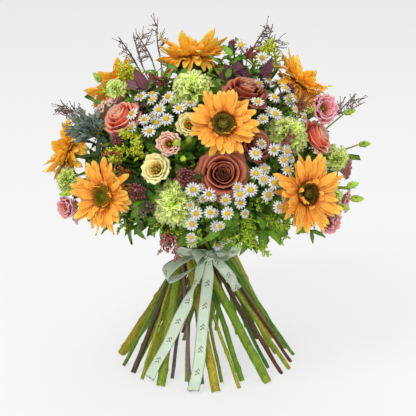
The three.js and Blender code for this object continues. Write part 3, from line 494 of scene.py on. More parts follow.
class Tree:
    """A geometry-nodes tree, built node by node from its named inputs."""

    def __init__(self, name, **inputs):
        self.group = bpy.data.node_groups.new(name, "GeometryNodeTree")
        face = self.group.interface
        face.new_socket("Geometry", in_out="OUTPUT", socket_type="NodeSocketGeometry")
        face.new_socket("Geometry", in_out="INPUT", socket_type="NodeSocketGeometry")
        for key, kind in inputs.items():
            face.new_socket(key, in_out="INPUT", socket_type="NodeSocket" + kind)
        self.inputs = self.group.nodes.new("NodeGroupInput").outputs

    def node(self, kind, settings=None, values=None):
        return add_node(self.group, kind, settings, values).outputs[0]

    def own(self, name, kind):
        return self.node("GeometryNodeInputNamedAttribute", {"data_type": kind}, {"Name": name})

    def close(self, geometry):
        ready = self.node("GeometryNodeSetMaterial", {}, {
            "Geometry": geometry, "Material": self.inputs["Material"]})
        end = self.group.nodes.new("NodeGroupOutput")
        self.group.links.new(ready, end.inputs[0])

    def grow(self, name, seed, **values):
        """Runs the tree on an object, and puts the plain mesh that it makes in the object's place."""
        push = seed.modifiers.new("grow", "NODES")
        push.node_group = self.group
        for item in self.group.interface.items_tree:
            if item.in_out == "INPUT" and item.name in values:
                push[item.identifier] = values[item.name]
        bpy.context.view_layer.update()
        grown = seed.evaluated_get(bpy.context.evaluated_depsgraph_get())
        mesh = bpy.data.meshes.new_from_object(grown)
        mesh.name = name
        seed.modifiers.remove(push)
        bpy.data.objects.remove(seed)
        mesh.polygons.foreach_set("use_smooth", np.ones(len(mesh.polygons), bool))
        made = bpy.data.objects.new(name, mesh)
        bpy.context.scene.collection.objects.link(made)
        return made


def copies_tree():
    """Copies of a collection's shapes, each turned, sized and picked by its own point."""
    tree = Tree("placed_copies", Shapes="Collection", Material="Material")
    shapes = tree.node("GeometryNodeCollectionInfo", {"transform_space": "ORIGINAL"}, {
        "Collection": tree.inputs["Shapes"], "Separate Children": True, "Reset Children": True})
    copies = tree.node("GeometryNodeInstanceOnPoints", {}, {
        "Points": tree.inputs["Geometry"], "Instance": shapes, "Pick Instance": True,
        "Instance Index": tree.own("kind", "INT"), "Rotation": tree.own("turn", "QUATERNION"),
        "Scale": tree.own("size", "FLOAT_VECTOR")})
    tree.close(tree.node("GeometryNodeRealizeInstances", {}, {"Geometry": copies}))
    return tree


def tubes_tree():
    """Round tubes along curves, as thick as the curves' own radii, with closed ends."""
    tree = Tree("stalk_tubes", Sides="Int", Material="Material")
    section = tree.node("GeometryNodeCurvePrimitiveCircle", {"mode": "RADIUS"}, {
        "Resolution": tree.inputs["Sides"], "Radius": 1.0})
    tubes = tree.node("GeometryNodeCurveToMesh", {}, {
        "Curve": tree.inputs["Geometry"], "Profile Curve": section, "Fill Caps": True,
        "Scale": tree.node("GeometryNodeInputRadius")})
    tree.close(tree.node("GeometryNodeRealizeInstances", {}, {"Geometry": tubes}))
    return tree


COPIES = copies_tree()
TUBES = tubes_tree()


class Shapes:
    """Hidden shapes that copies are made of, in one collection."""

    def __init__(self, name, *shapes):
        self.collection = bpy.data.collections.new(name)
        for shape in shapes:
            self.collection.objects.link(shape)
            for holder in list(shape.users_collection):
                if holder is not self.collection:
                    holder.objects.unlink(shape)
        self.count = len(shapes)


class Bed:
    """The places for copies of some shapes, to be planted as one piece."""

    def __init__(self, shapes, paint):
        self.shapes, self.paint = shapes, paint
        self.places = []

    def add(self, spot, forward, up, size, shade=None, kind=None):
        """A copy with its +Y along forward and its +Z near up; size is one number or three."""
        forward = forward.normalized()
        side = forward.cross(up)
        side = side.normalized() if side.length > 1e-6 else forward.orthogonal().normalized()
        turn = Matrix((side, forward, side.cross(forward))).transposed().to_quaternion()
        size = (size, size, size) if isinstance(size, (int, float)) else size
        kind = chance.randrange(self.shapes.count) if kind is None else kind
        shade = chance.random() if shade is None else shade
        self.places.append((spot.copy(), turn, size, shade, kind))

    def plant(self, name):
        if not self.places:
            return None
        seed = mesh_piece(name + "_places", [p[0] for p in self.places], [])
        for key, kind, field, values in (
                ("turn", "QUATERNION", "value", [tuple(p[1]) for p in self.places]),
                ("size", "FLOAT_VECTOR", "vector", [tuple(p[2]) for p in self.places]),
                ("shade", "FLOAT", "value", [p[3] for p in self.places]),
                ("kind", "INT", "value", [p[4] for p in self.places])):
            flat = np.array(values, np.int32 if kind == "INT" else np.float32).ravel()
            seed.data.attributes.new(key, kind, "POINT").data.foreach_set(field, flat)
        return COPIES.grow(name, seed, Shapes=self.shapes.collection, Material=self.paint)


class Stalks:
    """Lines with radii, to be made into tubes as one piece."""

    def __init__(self, paint, sides):
        self.paint, self.sides, self.lines = paint, sides, []

    def add(self, points, radii):
        self.lines.append((points, radii, chance.random()))

    def taper(self, points, first, step=0.0):
        """A line whose radius starts at one value and changes by a step at each point."""
        self.add(points, [(first + step * i) * MM for i in range(len(points))])

    def plant(self, name):
        curve = bpy.data.curves.new(name + "_lines", "CURVE")
        curve.dimensions = "3D"
        for points, radii, _ in self.lines:
            spline = curve.splines.new("POLY")
            spline.points.add(len(points) - 1)
            spline.points.foreach_set("co", [x for p in points for x in (*p, 1.0)])
            spline.points.foreach_set("radius", [float(r) for r in radii])
        seed = bpy.data.objects.new(name + "_lines", curve)
        bpy.context.scene.collection.objects.link(seed)
        made = TUBES.grow(name, seed, Sides=self.sides, Material=self.paint)
        shades = [np.full(self.sides * len(points), shade) for points, _, shade in self.lines]
        give_shades(made.data, shades)
        for corner in made.data.vertices:
            corner.co.z = max(corner.co.z, 0.0)
        return made


def bend(start, along_start, end, along_end, steps, pull=0.35):
    """Points of a smooth bend from one place and direction to another."""
    far = (end - start).length * pull
    a, b = start + along_start.normalized() * far, end - along_end.normalized() * far
    points = []
    for i in range(steps + 1):
        t = i / steps
        s = 1 - t
        points.append(start * s ** 3 + a * 3 * s * s * t + b * 3 * s * t * t + end * t ** 3)
    return points


def settle(piece, slot, *nodes):
    """Lets a finished piece ride with the bouquet, and stand for the nodes that it dresses."""
    if piece is None:
        return
    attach(piece, "root")
    if nodes:
        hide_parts(*nodes)


def plant_all(start, slot, *replaced, **beds):
    """Plants each bed as a piece of its own. The first one stands for the nodes given."""
    for ending, bed in beds.items():
        settle(bed.plant(f"{start}_{ending}"), slot, *replaced)
        replaced = ()


def tone(code):
    """The linear colour of a six-figure screen colour."""
    parts = [(code >> shift & 255) / 255 for shift in (16, 8, 0)]
    return tuple(c / 12.92 if c < 0.04045 else ((c + 0.055) / 1.055) ** 2.4 for c in parts)


def tones(*codes):
    return [tone(code) for code in codes]


def direction_of(spot):
    """The way out of the bouquet's middle at a spot."""
    return (spot - DOME_MIDDLE).normalized()


class Axes:
    """A bloom's own axes: z out of its face, x and y across it."""

    def __init__(self, origin, z, x=None):
        self.origin, self.z = origin, z.normalized()
        x = x if x is not None else Vector((0, 0, 1)).cross(self.z)
        x = x if x.length > 1e-5 else self.z.orthogonal()
        self.x = (x - self.z * x.dot(self.z)).normalized()
        self.y = self.z.cross(self.x)

    def at(self, x, y, z):
        """A place given in millimetres in these axes."""
        return self.origin + (self.x * x + self.y * y + self.z * z) * MM

    def polar(self, angle, r, z):
        return self.at(r * math.cos(angle), r * math.sin(angle), z)

    def way(self, angle, out, up):
        """A direction given by an angle round the axis, and how much it leads out and up."""
        flat = self.x * math.cos(angle) + self.y * math.sin(angle)
        return (flat * out + self.z * up).normalized()

    def matrix(self, size=1.0):
        turn = Matrix((self.x, self.y, self.z)).transposed().to_4x4()
        return Matrix.Translation(self.origin) @ turn @ Matrix.Scale(size, 4)


# ---------------------------------------------------------------- finishes
# RAY, for the blooms that look up or away, is lighter and yellower than WARM_RAY: partly their own colour,
# partly painted light that lifts the shade on rays seen from behind.
RAY = petal_paint("sunflower_ray", 0xDE8014, 0xFFBC3E, 0xFFD868, 11, 0.28, fade=0.3, soft=0.3)
WARM_RAY = petal_paint("warm_sunflower_ray", 0xC4500E, 0xF09E38, 0xF6C05C, 11, 0.34, fade=0.42)
# the edge colours of BRONZE, CORAL and LIME are partly the petals' paler rims, partly a painted highlight
# along them.
BRONZE = petal_paint("rose_bronze", 0x3C160C, 0x963E28, 0xB0563C, 18, 0.12, edge=0xCC785C)
CORAL = petal_paint("rose_coral", 0xF06A34, 0xFF7658, 0xFF9478, 18, 0.12, edge=0xFFB29A, soft=0.5)
LIME = petal_paint("carnation_frill", 0xB0D830, 0xE2F66C, 0xEEFC94, 12, 0.12, edge=0xF6FFAE, soft=0.2)
CREAM = petal_paint("lisianthus_cream", 0x6E5008, 0xFFE888, 0xFFF4B4, 14, 0.1, soft=0.3)
BLUSH = petal_paint("lisianthus_blush", 0x9A7A28, 0xF6B8A0, 0xFAD4C4, 14, 0.12)
PINK = petal_paint("lisianthus_pink", 0xA88440, 0xEE96A0, 0xF8BCBC, 14, 0.12)
PINK_BACK = petal_paint("lisianthus_pink_outside", 0xDCCC98, 0xFA9CA4, 0xFCBEBE, 14, 0.12)
CREAM_BACK = petal_paint("lisianthus_cream_outside", 0xC8D080, 0xFFEE98, 0xFFF4B4, 14, 0.1, soft=0.3)
BLUSH_BACK = petal_paint("lisianthus_blush_outside", 0xECD0A0, 0xFFB89C, 0xFFD6C2, 14, 0.12)
WHITE = petal_paint("chamomile_ray", 0xDEE0B8, 0xF8F6EC, 0xFFFDF6, 7, 0.05)
GREEN_LEAF = leaf_paint("fresh_leaf", 0x54881A, 0xA0C250, 0x7AAA2C, 0.5, 0.05)
DEEP_LEAF = leaf_paint("deep_leaf", 0x2E4E16, 0x6A9238, 0x40681E, 0.5, 0.08)
PURPLE_LEAF = leaf_paint("purple_leaf", 0x5E3442, 0x8E5C6C, 0x704650, 0.5, 0.1)
BLUE_LEAF = leaf_paint("blue_leaf", 0x84988A, 0xB2C4B2, 0x98AC9C, 0.6, 0.0)
BRACT = leaf_paint("sunflower_bract", 0x62902A, 0xA0BC56, 0x7CA438, 0.6, 0.0)
OLIVE_STALK = stalk_paint("olive_stalk", 0x988C08, 0xB8AA1C, 0x5A3C14, 0.42)
GREEN_STALK = stalk_paint("green_stalk", 0x427C04, 0x78A410, 0x4A3414, 0.36)
DARK_STALK = stalk_paint("dark_stalk", 0x2C5012, 0x54401E, 0x463020, 0.45)
PALE_STALK = stalk_paint("pale_stalk", 0x789A0A, 0xA4A814, 0x5E4818, 0.4)
RED_STALK = stalk_paint("red_stalk", 0x50281A, 0x743C20, 0x2C1A12, 0.5)


def disc_paint(name, *colours):
    """Seed florets: each copy carries its share of the way out from the middle of the disc."""
    p = Paint(name)
    stops = zip((0.0, 0.3, 0.6, 0.82, 1.0), tones(*colours))
    colour = p.ramp(p.own("shade"), *stops)
    speck = p.noise(p.place(), 900.0, 2.0)
    return p.finish(p.brighten(colour, 0.5 + speck), 0.8, speck, 0.0003, Specular_IOR_Level=0.08)


def plain_paint(name, body, other, roughness=0.5, scale=400.0, coat=0.0):
    """A small part's finish: two tones in fine patches, with a grain to match."""
    p = Paint(name)
    cloud = p.noise(p.place(), scale, 3.0)
    colour = p.mix((cloud * 2 - 0.5).clamped(), *tones(body, other))
    colour = p.brighten(colour, 0.75 + p.own("shade") * 0.5)
    return p.finish(colour, roughness, cloud, 0.0003, Coat_Weight=coat, Specular_IOR_Level=0.3)


DARK_DISC = disc_paint("dark_sunflower_disc", 0x5C4810, 0x3A2406, 0x301A04, 0x6A380A, 0xB8721A)
OPEN_DISC = disc_paint("open_sunflower_disc", 0x7C7A1C, 0x6C5A10, 0x9A6E12, 0xC48A1C, 0xE0A42C)
YOLK = plain_paint("chamomile_eye", 0xD2AE1C, 0xB49012, 0.7, 1500.0)
GOLD = plain_paint("goldenrod_floret", 0xE4DC3C, 0xA4C42C, 0.6, 500.0)
YOUNG_GOLD = plain_paint("young_goldenrod_floret", 0xBECE38, 0x80AA26, 0.6, 500.0)
LIME_BUD = plain_paint("lime_sprig", 0x9CC030, 0xC4D848, 0.6, 300.0)
LEMON = plain_paint("green_bud", 0x86A62C, 0xB2CA4A, 0.5, 180.0)
RUST_RED = plain_paint("rust_red_sprig", 0x7C3A34, 0x9C5A4C, 0.55, 500.0)
WINE = plain_paint("berry", 0x74323A, 0xA05C58, 0.45, 500.0, 0.1)
ROSY = plain_paint("red_sprig", 0x8C4240, 0xBC706A, 0.5, 500.0)
MAUVE = plain_paint("mauve_sprig", 0x7A5A58, 0xA0847C, 0.6, 500.0)
RUSTY = plain_paint("rust_sprig", 0x8A4A1E, 0xAC6830, 0.6, 500.0)
ANTHER = plain_paint("anther", 0xE38E1A, 0xC06A10, 0.6, 900.0)
PISTIL = plain_paint("pistil", 0x6A8A22, 0x8CAA30, 0.5, 600.0)
BARK = plain_paint("dry_twig", 0x84706A, 0x52423E, 0.8, 700.0)
FIBRE = plain_paint("twine_fibre", 0xB39A66, 0x8A7348, 0.9, 1200.0)


# ---------------------------------------------------------------- shapes that repeat
RAY_LONG, LEAF_LONG, STRAP_LONG = 30, 36, 34


def petal_edge(v, root, widest, tip=0.55):
    """A petal's half-width along its length, from its root to its pointed tip."""
    blade_edge = 1.42 * (v + 0.04) ** 0.62 * np.clip(1 - v, 0, 1) ** tip
    return widest * np.maximum(root * (1 - v) ** 3, blade_edge)


def ray_shape(k, curl, twist, ripple):
    """A sunflower ray, channelled and grooved, its tip curled."""
    def surface(u, v):
        half = petal_edge(v, 0.4, 6.7, 0.56) * (1 + 0.07 * np.sin(v * 23 + k * 2))
        turn = twist * v ** 2
        x = u * half
        z = (k % 3 - 0.2) * 1.5 * np.sin(math.pi * v) + curl * v ** 3 + 0.075 * x ** 2 * (1 - v)
        z = z + 0.3 * np.cos(u * math.pi * 2.5) * np.sin(math.pi * v) + ripple * np.sin(v * 11 + k) * u
        lean = 0.05 * curl * 12 * v ** 2 * (k % 2 - 0.5)
        return x * np.cos(turn) + lean, RAY_LONG * v, z + x * np.sin(turn)
    return blade(f"ray_shape_{k}", surface, 8, 10, 0.6)


def leaf_shape(name, long, half, droop, fold, wave, across=6, along=10, tip=0.7, lobes=0.0):
    """A leaf along +Y: folded at its midrib, waved at its edge, and curling down to its tip."""
    def surface(u, v):
        wide = half * np.clip(np.sin(math.pi * np.clip(v, 0, 1) ** 0.8), 0, 1) ** tip + 0.25 * (1 - v)
        wide = wide * (1 + lobes * np.sin(v * 40))
        z = fold * np.abs(u) * half * 0.5 - droop * v ** 2 + wave * np.sin(v * 17 + u * 2) * np.abs(u)
        return u * wide, long * v, z
    return blade(name, surface, across, along, 0.5)


def closed_shape(name, points, faces):
    made = mesh_piece(name, [p * MM for p in points], faces)
    weld(made.data)
    return made


def ball_shape(name, radius, rings=5, sides=7, stretch=1.0, lumps=0.0, point=0.0):
    """A closed bead that stands on the origin, along +Y; point draws its far end to a tip."""
    points, faces = [Vector((0, 0, 0))], []
    for j in range(1, rings):
        pole = math.pi * j / rings
        y = radius * stretch * (1 - math.cos(pole))
        for i in range(sides):
            turn = 2 * math.pi * (i + 0.5 * (j % 2)) / sides
            r = radius * math.sin(pole) * (1 + lumps * math.sin(3 * turn + pole)) * (1 - point * j / rings)
            points.append(Vector((r * math.cos(turn), y, r * math.sin(turn))))
    points.append(Vector((0, 2 * radius * stretch, 0)))
    last = len(points) - 1
    for i in range(sides):
        after = (i + 1) % sides
        faces.append((0, 1 + i, 1 + after))
        faces.append((last, last - sides + after, last - sides + i))
        for j in range(rings - 2):
            a, b = 1 + j * sides, 1 + (j + 1) * sides
            faces.append((a + i, b + i, b + after, a + after))
    return closed_shape(name, points, faces)


def floret_shape(name, long, wide, lobes):
    """A small tube that opens into pointed lobes, along +Y."""
    sides = lobes * 2
    points, faces = [Vector((0, 0, 0))], []
    for y, r, notch_y, notch_r in ((0.0, 0.42, 0.0, 0.42), (0.66, 0.5, 0.66, 0.5), (1.0, 1.0, 0.82, 0.5)):
        for i in range(sides):
            turn = 2 * math.pi * i / sides
            high, out = (notch_y, notch_r) if i % 2 else (y, r)
            points.append(Vector((out * wide * math.cos(turn), high * long, out * wide * math.sin(turn))))
    points.append(Vector((0, 0.78 * long, 0)))
    last = len(points) - 1
    for i in range(sides):
        after = (i + 1) % sides
        faces.append((0, 1 + i, 1 + after))
        for j in range(2):
            a, b = 1 + j * sides, 1 + (j + 1) * sides
            faces.append((a + i, b + i, b + after, a + after))
        faces.append((1 + 2 * sides + i, last, 1 + 2 * sides + after))
    return closed_shape(name, points, faces)


def frill_shape(k):
    """A carnation petal, 24 mm long: a fan with deep ruffles and a toothed edge."""
    def surface(u, v):
        half = 1.6 + 13.5 * v ** 1.2
        ruffle = np.sin(u * (5 + k) + k * 2) * 4.2 * v ** 2 + np.sin(u * (13 + k)) * 1.5 * v ** 3
        teeth = np.abs((u * 7 + k * 0.3) % 1 - 0.5) * 4.4 * v ** 7
        y = 24 * v * (1 - 0.16 * u ** 2) - teeth
        bow = 1 - 0.35 * np.abs(u) * v
        return u * half * bow, y, ruffle - 5.0 * v ** 2.2
    return blade(f"frill_shape_{k}", surface, 20, 5, 0.4)


def leaf_shapes(name, long, half, droops, *finer):
    """Shapes that differ in how far they curl down."""
    return [leaf_shape(f"{name}_{k}", long, half, droop, *finer) for k, droop in enumerate(droops)]


def broad_leaves(name, long, half, *finer):
    return [leaf_shape(f"{name}_{k}", long, half - k, 4 + 4 * k, 0.5, *finer) for k in range(3)]


RAYS = Shapes("ray_shapes", *[ray_shape(k, *s) for k, s in enumerate(
    [(2.5, 0.3, 0.7), (-3, -0.5, 0.9), (5.5, 0.7, 0.8), (1.5, -0.8, 1.1), (-6, 0.4, 0.8)])])
BRACTS = Shapes("bract_shapes", leaf_shape("bract_shape", 24, 5.2, 4, 0.2, 0.3, 4, 8))
SEEDS = Shapes("seed_shapes", floret_shape("seed_shape_a", 2.6, 0.62, 4),
               floret_shape("seed_shape_b", 3.1, 0.7, 5))
LEAVES = Shapes("leaf_shapes", *broad_leaves("leaf", LEAF_LONG, 9.5, 0.7, 6, 9, 0.9, 0.05))
STRAPS = Shapes("strap_shapes", *leaf_shapes("strap", STRAP_LONG, 3.4, (3, 8, 13), 0.6, 0.2, 4, 9, 0.55))
NEEDLES = Shapes("needle_shapes", leaf_shape("needle", 12, 0.8, 1, 0.2, 0.0, 2, 3, 0.5))
FRILLS = Shapes("frill_shapes", *[frill_shape(k) for k in range(4)])
DAISY_RAYS = Shapes("daisy_ray_shapes",
                    *leaf_shapes("daisy_ray", 6.3, 1.25, (0.4, 1.4, 2.4), 0.3, 0.1, 2, 5, 0.34))
EYES = Shapes("eye_shapes", ball_shape("eye", 3.3, 6, 12, 0.62, 0.03))
GOLD_BUDS = Shapes("gold_bud_shapes", floret_shape("gold_bud_a", 2.6, 1.0, 3),
                   ball_shape("gold_bud_b", 1.0, 3, 5, 1.3))
BEADS = Shapes("bead_shapes", floret_shape("bead_a", 3.4, 1.7, 4), ball_shape("bead_b", 1.35, 4, 6, 1.2))
SPRIG_BEADS = Shapes("sprig_bead_shapes", ball_shape("sprig_bead", 0.95, 4, 5, 1.7))
TINY_BUDS = Shapes("tiny_bud_shapes", ball_shape("tiny_bud", 1.0, 3, 4, 1.3))
SPECKS = Shapes("speck_shapes", ball_shape("speck", 0.6, 4, 5, 1.4))
BUDS = Shapes("bud_shapes", ball_shape("bud", 5.2, 9, 12, 1.4, 0.1, 0.62))
FILL_LEAVES = Shapes("fill_leaf_shapes", *broad_leaves("fill_leaf", 34, 9.0, 0.6, 4, 5, 0.85))


# ---------------------------------------------------------------- stems
SOLIDS = {}
RADII = {"sunflower": 5.2, "rose": 3.3, "carnation": 2.6}
THIN_STEM = 2.2  # the radius of every other stem
STEM_STEP, NECK = 5, 15  # from point to point of a stem, and from its last one to its bloom
KNOT_LONG, KNOT_SWELL = 2.2, 0.24


def solid_of(node):
    if node not in SOLIDS:
        SOLIDS[node] = Solid(node)
    return SOLIDS[node]


def stem_radius(node):
    return RADII.get(node.split("_")[0], THIN_STEM) * MM


def grow_stem(stalks, node, stop=None, crown=()):
    """
    Follows a node's stem from its cut end. crown lists the places and radii of its last points,
    up to its bloom, and the stem ends short of stop. Returns its line.
    """
    radius = stem_radius(node)
    line = trace_stem(solid_of(node), radius)
    if stop is not None:
        line = [p for p in line if (p - stop).length > NECK * MM]
    points, radii = [], []
    rhythm = chance.uniform(34, 52) * MM
    offset = chance.uniform(0, 1)
    taper = (0.8 if node.split("_")[0] in RADII else 0.6) - 1.05
    far = 0.0
    fine = resample(line, STEM_STEP * MM)
    for i, p in enumerate(fine):
        far += (p - fine[i - 1]).length if i else 0
        share = i / max(len(fine) - 1, 1)
        knot = math.exp(-((((far / rhythm + offset) % 1) - 0.5) * rhythm / (KNOT_LONG * MM)) ** 2)
        sway = Vector((math.sin(far * 90 + offset * 9), math.cos(far * 70 + offset * 7), 0)) * 0.35 * MM
        points.append(p + sway * min(1, far * 40))
        rough = 1 + KNOT_SWELL * knot + chance.uniform(-0.035, 0.035)
        radii.append(radius * (1.05 + taper * share) * rough)
    points[0].z = 0.2 * MM
    points += [place for place, _ in crown]
    radii += [r * MM for _, r in crown]
    stalks.add(points, radii)
    return Line(points)


def resample(points, step):
    """The same path with a point at every step."""
    line = Line(list(points)[::-1])
    count = max(2, int(line.length / step))
    return [line.at(line.length * i / count)[0] for i in range(count)] + [points[-1].copy()]


def side_stalk(stalks, seat, away, line, radius):
    """A side stalk from a bloom's seat back to its stem, joining it some way down."""
    near = line.nearest(seat)
    spot, along = line.at(near + (seat - line.at(near)[0]).length * 0.9)
    path = bend(seat, away, spot, -along, 9)
    stalks.taper(path, radius, 0.03)
    return path


# ---------------------------------------------------------------- sunflowers
SUNFLOWERS = ("front", "left_low", "right_low", "top", "left", "right_high", "left_high", "back")
DISC_RADIUS, DISC_SEEDS = 14.5, 300
RAY_ROOT = 12.2  # how far out a ray starts
LOOKS_AWAY = -0.45  # a bloom whose axis has a larger Y looks up or away from the camera
# heights along the bloom's axis, and radii, of the swollen end of a sunflower's stem
SUNFLOWER_CROWN = ((-17, 4.6), (-12, 5.0), (-8.5, 7.0), (-6.2, 10.6), (-4.2, 11.6), (0.0, 12.6),
                   (2.2, 13.2), (3.4, 12.4))


def ray_tips(node, axes):
    """
    The angle, reach and rise of each ray's tip, in turn. A tip is a corner with four neighbours, two
    of them with four as well.
    """
    solid, found = solid_of(node), []
    four = {i for i, near in enumerate(solid.near) if len(near) == 4}
    for i in four:
        if len(solid.near[i] & four) == 2:
            away = solid.points[i] - axes.origin
            rise = away.dot(axes.z)
            angle = math.atan2(away.dot(axes.y), away.dot(axes.x))
            found.append((angle, (away - axes.z * rise).length, rise))
    return sorted(found)


def disc_height(r):
    """How high the disc stands at a distance from its middle: a dimple inside a low rim."""
    return 5.0 + 1.5 * math.exp(-((r - 10) / 3.6) ** 2) - 2.6 * max(0.0, r - 12) / 2.5


def seed_disc(seeds, axes):
    """Seeds in a spiral: upright in the middle, turned in on the slope, and outwards at the rim."""
    for k in range(DISC_SEEDS):
        r = DISC_RADIUS * math.sqrt((k + 0.6) / DISC_SEEDS)
        share = r / DISC_RADIUS
        lean = -0.25 if 0.45 < share < 0.8 else 0.15 + 0.55 * share ** 3
        spot = axes.polar(k * GOLDEN, r * 0.98, disc_height(r) - 1.9)
        seeds.add(spot, axes.way(k * GOLDEN, lean, 1), axes.x,
                  0.78 + 0.45 * share + chance.uniform(-0.08, 0.08), share)


def ray_rings(rays, axes, tips):
    """The solid's rays with two more between each pair, then short upright ones and low ones."""
    for k, (angle, reach, rise) in enumerate(tips):
        after = tips[(k + 1) % len(tips)]
        turn = (after[0] - angle) % (2 * math.pi)
        add_ray(rays, axes, angle, reach / MM, rise / MM)
        for share in (0.34, 0.68):
            far = (reach + (after[1] - reach) * share) / MM * chance.uniform(0.76, 1.0)
            high = (rise + (after[2] - rise) * share) / MM + chance.uniform(-1.5, 3)
            add_ray(rays, axes, angle + turn * (share + chance.uniform(-0.1, 0.1)), far, high)
    for k in range(8):
        angle = k * 2.4 + chance.uniform(-0.3, 0.3)
        add_ray(rays, axes, angle, chance.uniform(16, 24), chance.uniform(9, 16))
    if axes.z.y > LOOKS_AWAY:
        hang_rays(rays, axes)
    longest = max(reach for _, reach, _ in tips) / MM
    for k in range(11):
        angle = k * 0.571 + chance.uniform(-0.15, 0.15)
        add_ray(rays, axes, angle, longest * chance.uniform(0.66, 0.86), chance.uniform(-12, -3), -2.4)


def bract_rings(bracts, axes):
    """Two rings of thirteen bracts under the rays, the second one lower and longer."""
    for k in range(26):
        lower = k > 12
        angle = k * 2 * math.pi / 13 + (0.24 if lower else 0)
        long = chance.uniform(0.86, 1.0) if lower else chance.uniform(0.75, 0.9)
        root = axes.polar(angle, 7.5, (-5.4 if lower else -4.2) - 1)
        bracts.add(root, axes.way(angle, 1, 0.05 if lower else 0.3), axes.z, (0.85, 0.72 * long, 0.9))


def plant_sunflower(name):
    node = f"sunflower_{name}"
    seeds = Bed(SEEDS, OPEN_DISC if name in ("left_low", "left") else DARK_DISC)
    # the front-facing blooms take WARM_RAY and the others the lighter RAY, which is partly painted light on
    # their shaded rays.
    rays = Bed(RAYS, WARM_RAY if name in ("front", "left_low", "right_low") else RAY)
    bracts = Bed(BRACTS, BRACT)
    stalks = Stalks(OLIVE_STALK if name in ("front", "left", "right_low", "back") else PALE_STALK, 14)
    head = heads_of(solid_of(f"{node}_stem"), "sunflower")[0]
    axis = (head["tip"] - centre(head["rings"][4])).normalized()
    axes = Axes(head["tip"] - axis * 5.4 * MM, axis)
    seed_disc(seeds, axes)
    ray_rings(rays, axes, ray_tips(f"{node}_rays", axes))
    bract_rings(bracts, axes)
    crown = [(axes.at(0, 0, z), r) for z, r in SUNFLOWER_CROWN]
    grow_stem(stalks, f"{node}_stem", axes.origin, crown)
    plant_all(node, "sunflower_stem", f"{node}_stem", stalk=stalks, disc=seeds, bracts=bracts)
    plant_all(node, "sunflower_rays", f"{node}_rays", petals=rays)


def hang_rays(rays, axes):
    """The near rays of a bloom that looks away: they lean out and down over its bracts."""
    near = Vector((axes.origin.x - TIE.x, axes.origin.y - TIE.y - 0.2, 0)).normalized()
    flat = (near - axes.z * near.dot(axes.z)).normalized()
    middle = math.atan2(flat.dot(axes.y), flat.dot(axes.x))
    for k in range(22):
        angle = middle + math.radians(-84 + 8 * k) + chance.uniform(-0.06, 0.06)
        low = k % 2
        root = axes.polar(angle, RAY_ROOT + 0.6 * low, 1.4 - 1.8 * low)
        way = axes.way(angle, 1, chance.uniform(-0.25, 0.25) - 0.75 * low)
        long = chance.uniform(0.8, 1.0)
        rays.add(root, way, axes.way(angle, 0.4, 1), (1.15, long, 1.0), kind=(0, 1, 3, 4)[k % 4])


def add_ray(rays, axes, angle, reach, rise, root_height=1.6):
    root = axes.polar(angle, RAY_ROOT, root_height + chance.uniform(-0.8, 0.8))
    away = axes.polar(angle, reach, rise) - root
    long = away.length / (RAY_LONG * MM)
    wide = min(1.05, 0.5 + 0.5 * long) * chance.uniform(0.94, 1.16)
    if axes.z.y > LOOKS_AWAY:
        wide *= 1.2
    kind = chance.choice((0, 2, 2, 3) if rise > 6 else (0, 1, 3, 4))
    rays.add(root, away, axes.z, (wide, long, 1.0), kind=kind)


for name in SUNFLOWERS:
    plant_sunflower(name)


# ---------------------------------------------------------------- roses
ROSES = {"front": BRONZE, "high": BRONZE, "middle": BRONZE, "back": BRONZE,
         "left": CORAL, "right": CORAL}
# a rose's tiers from its heart: petals, rim radius, rim height, half-angle, roll, point, belly
ROSE_TIERS = (
    (3, 2.2, 24.6, 2.0, 0.0, 0.0, 0.7), (3, 3.9, 25.6, 1.6, 0.1, 0.0, 0.7),
    (3, 5.6, 26.2, 1.45, 0.3, 0.0, 0.65), (3, 7.4, 26.4, 1.3, 0.5, 0.2, 0.6),
    (4, 9.4, 26.2, 1.1, 0.9, 0.4, 0.55), (3, 13.4, 25.2, 1.35, 1.8, 1.6, 0.55),
    (3, 17.4, 21.4, 1.15, 3.0, 3.6, 0.6), (4, 20.6, 15.6, 0.84, 3.2, 5.2, 0.75),
    (4, 21.8, 9.4, 0.84, 2.8, 5.6, 0.85),
)


def rose_petal(turn, rim, top, half, roll, point, belly, ripple):
    """A cupped petal: it hugs the heart, and its rim rolls outwards to a point."""
    def surface(u, v):
        fold = np.clip((v - 0.8) / 0.2, 0, 1)
        r = 3.2 + (rim - 3.2) * np.sin(math.pi / 2 * v ** belly) + 0.9 * u * (rim / 20 + 0.35)
        r = r + roll * fold ** 1.6 + 0.45 * np.sin(u * 4 + ripple) * v ** 3
        drop = (0.05 + 0.2 * rim / 24) * top * np.abs(u) ** 2.4
        z = -1 + (top + 1) * v ** 1.1 - drop * v ** 2 - roll * 0.5 * fold ** 2
        r = r + point * fold * (1 - np.abs(u)) ** 2
        z = z - 0.4 * point * fold * (1 - np.abs(u)) ** 2
        angle = turn + u * half * (0.62 + 0.38 * np.sin(math.pi * np.clip(v, 0, 1) * 0.62))
        return r * np.cos(angle), r * np.sin(angle), z
    return surface


def rose_bloom(petals, axes, size):
    """Every tier of a rose, from its heart out. Returns the angle at which the last one starts."""
    turn = chance.uniform(0, 6)
    for tier, (count, rim, top, half, roll, point, belly) in enumerate(ROSE_TIERS):
        turn += 0.75
        for k in range(count):
            angle = turn + 2 * math.pi * k / count + chance.uniform(-0.1, 0.1)
            shape = rose_petal(angle, rim * chance.uniform(0.95, 1.04), top * chance.uniform(0.97, 1.02),
                               half, roll, point, belly, chance.uniform(0, 6))
            # the inner tiers get lower shades, so the heart's petals are painted darker: painted shade deep
            # in the bloom.
            shade = 0.2 + tier * 0.07 + chance.uniform(-0.12, 0.12)
            petals.add(shape, axes, size, 14, 12, 0.6, shade=shade)
    return turn


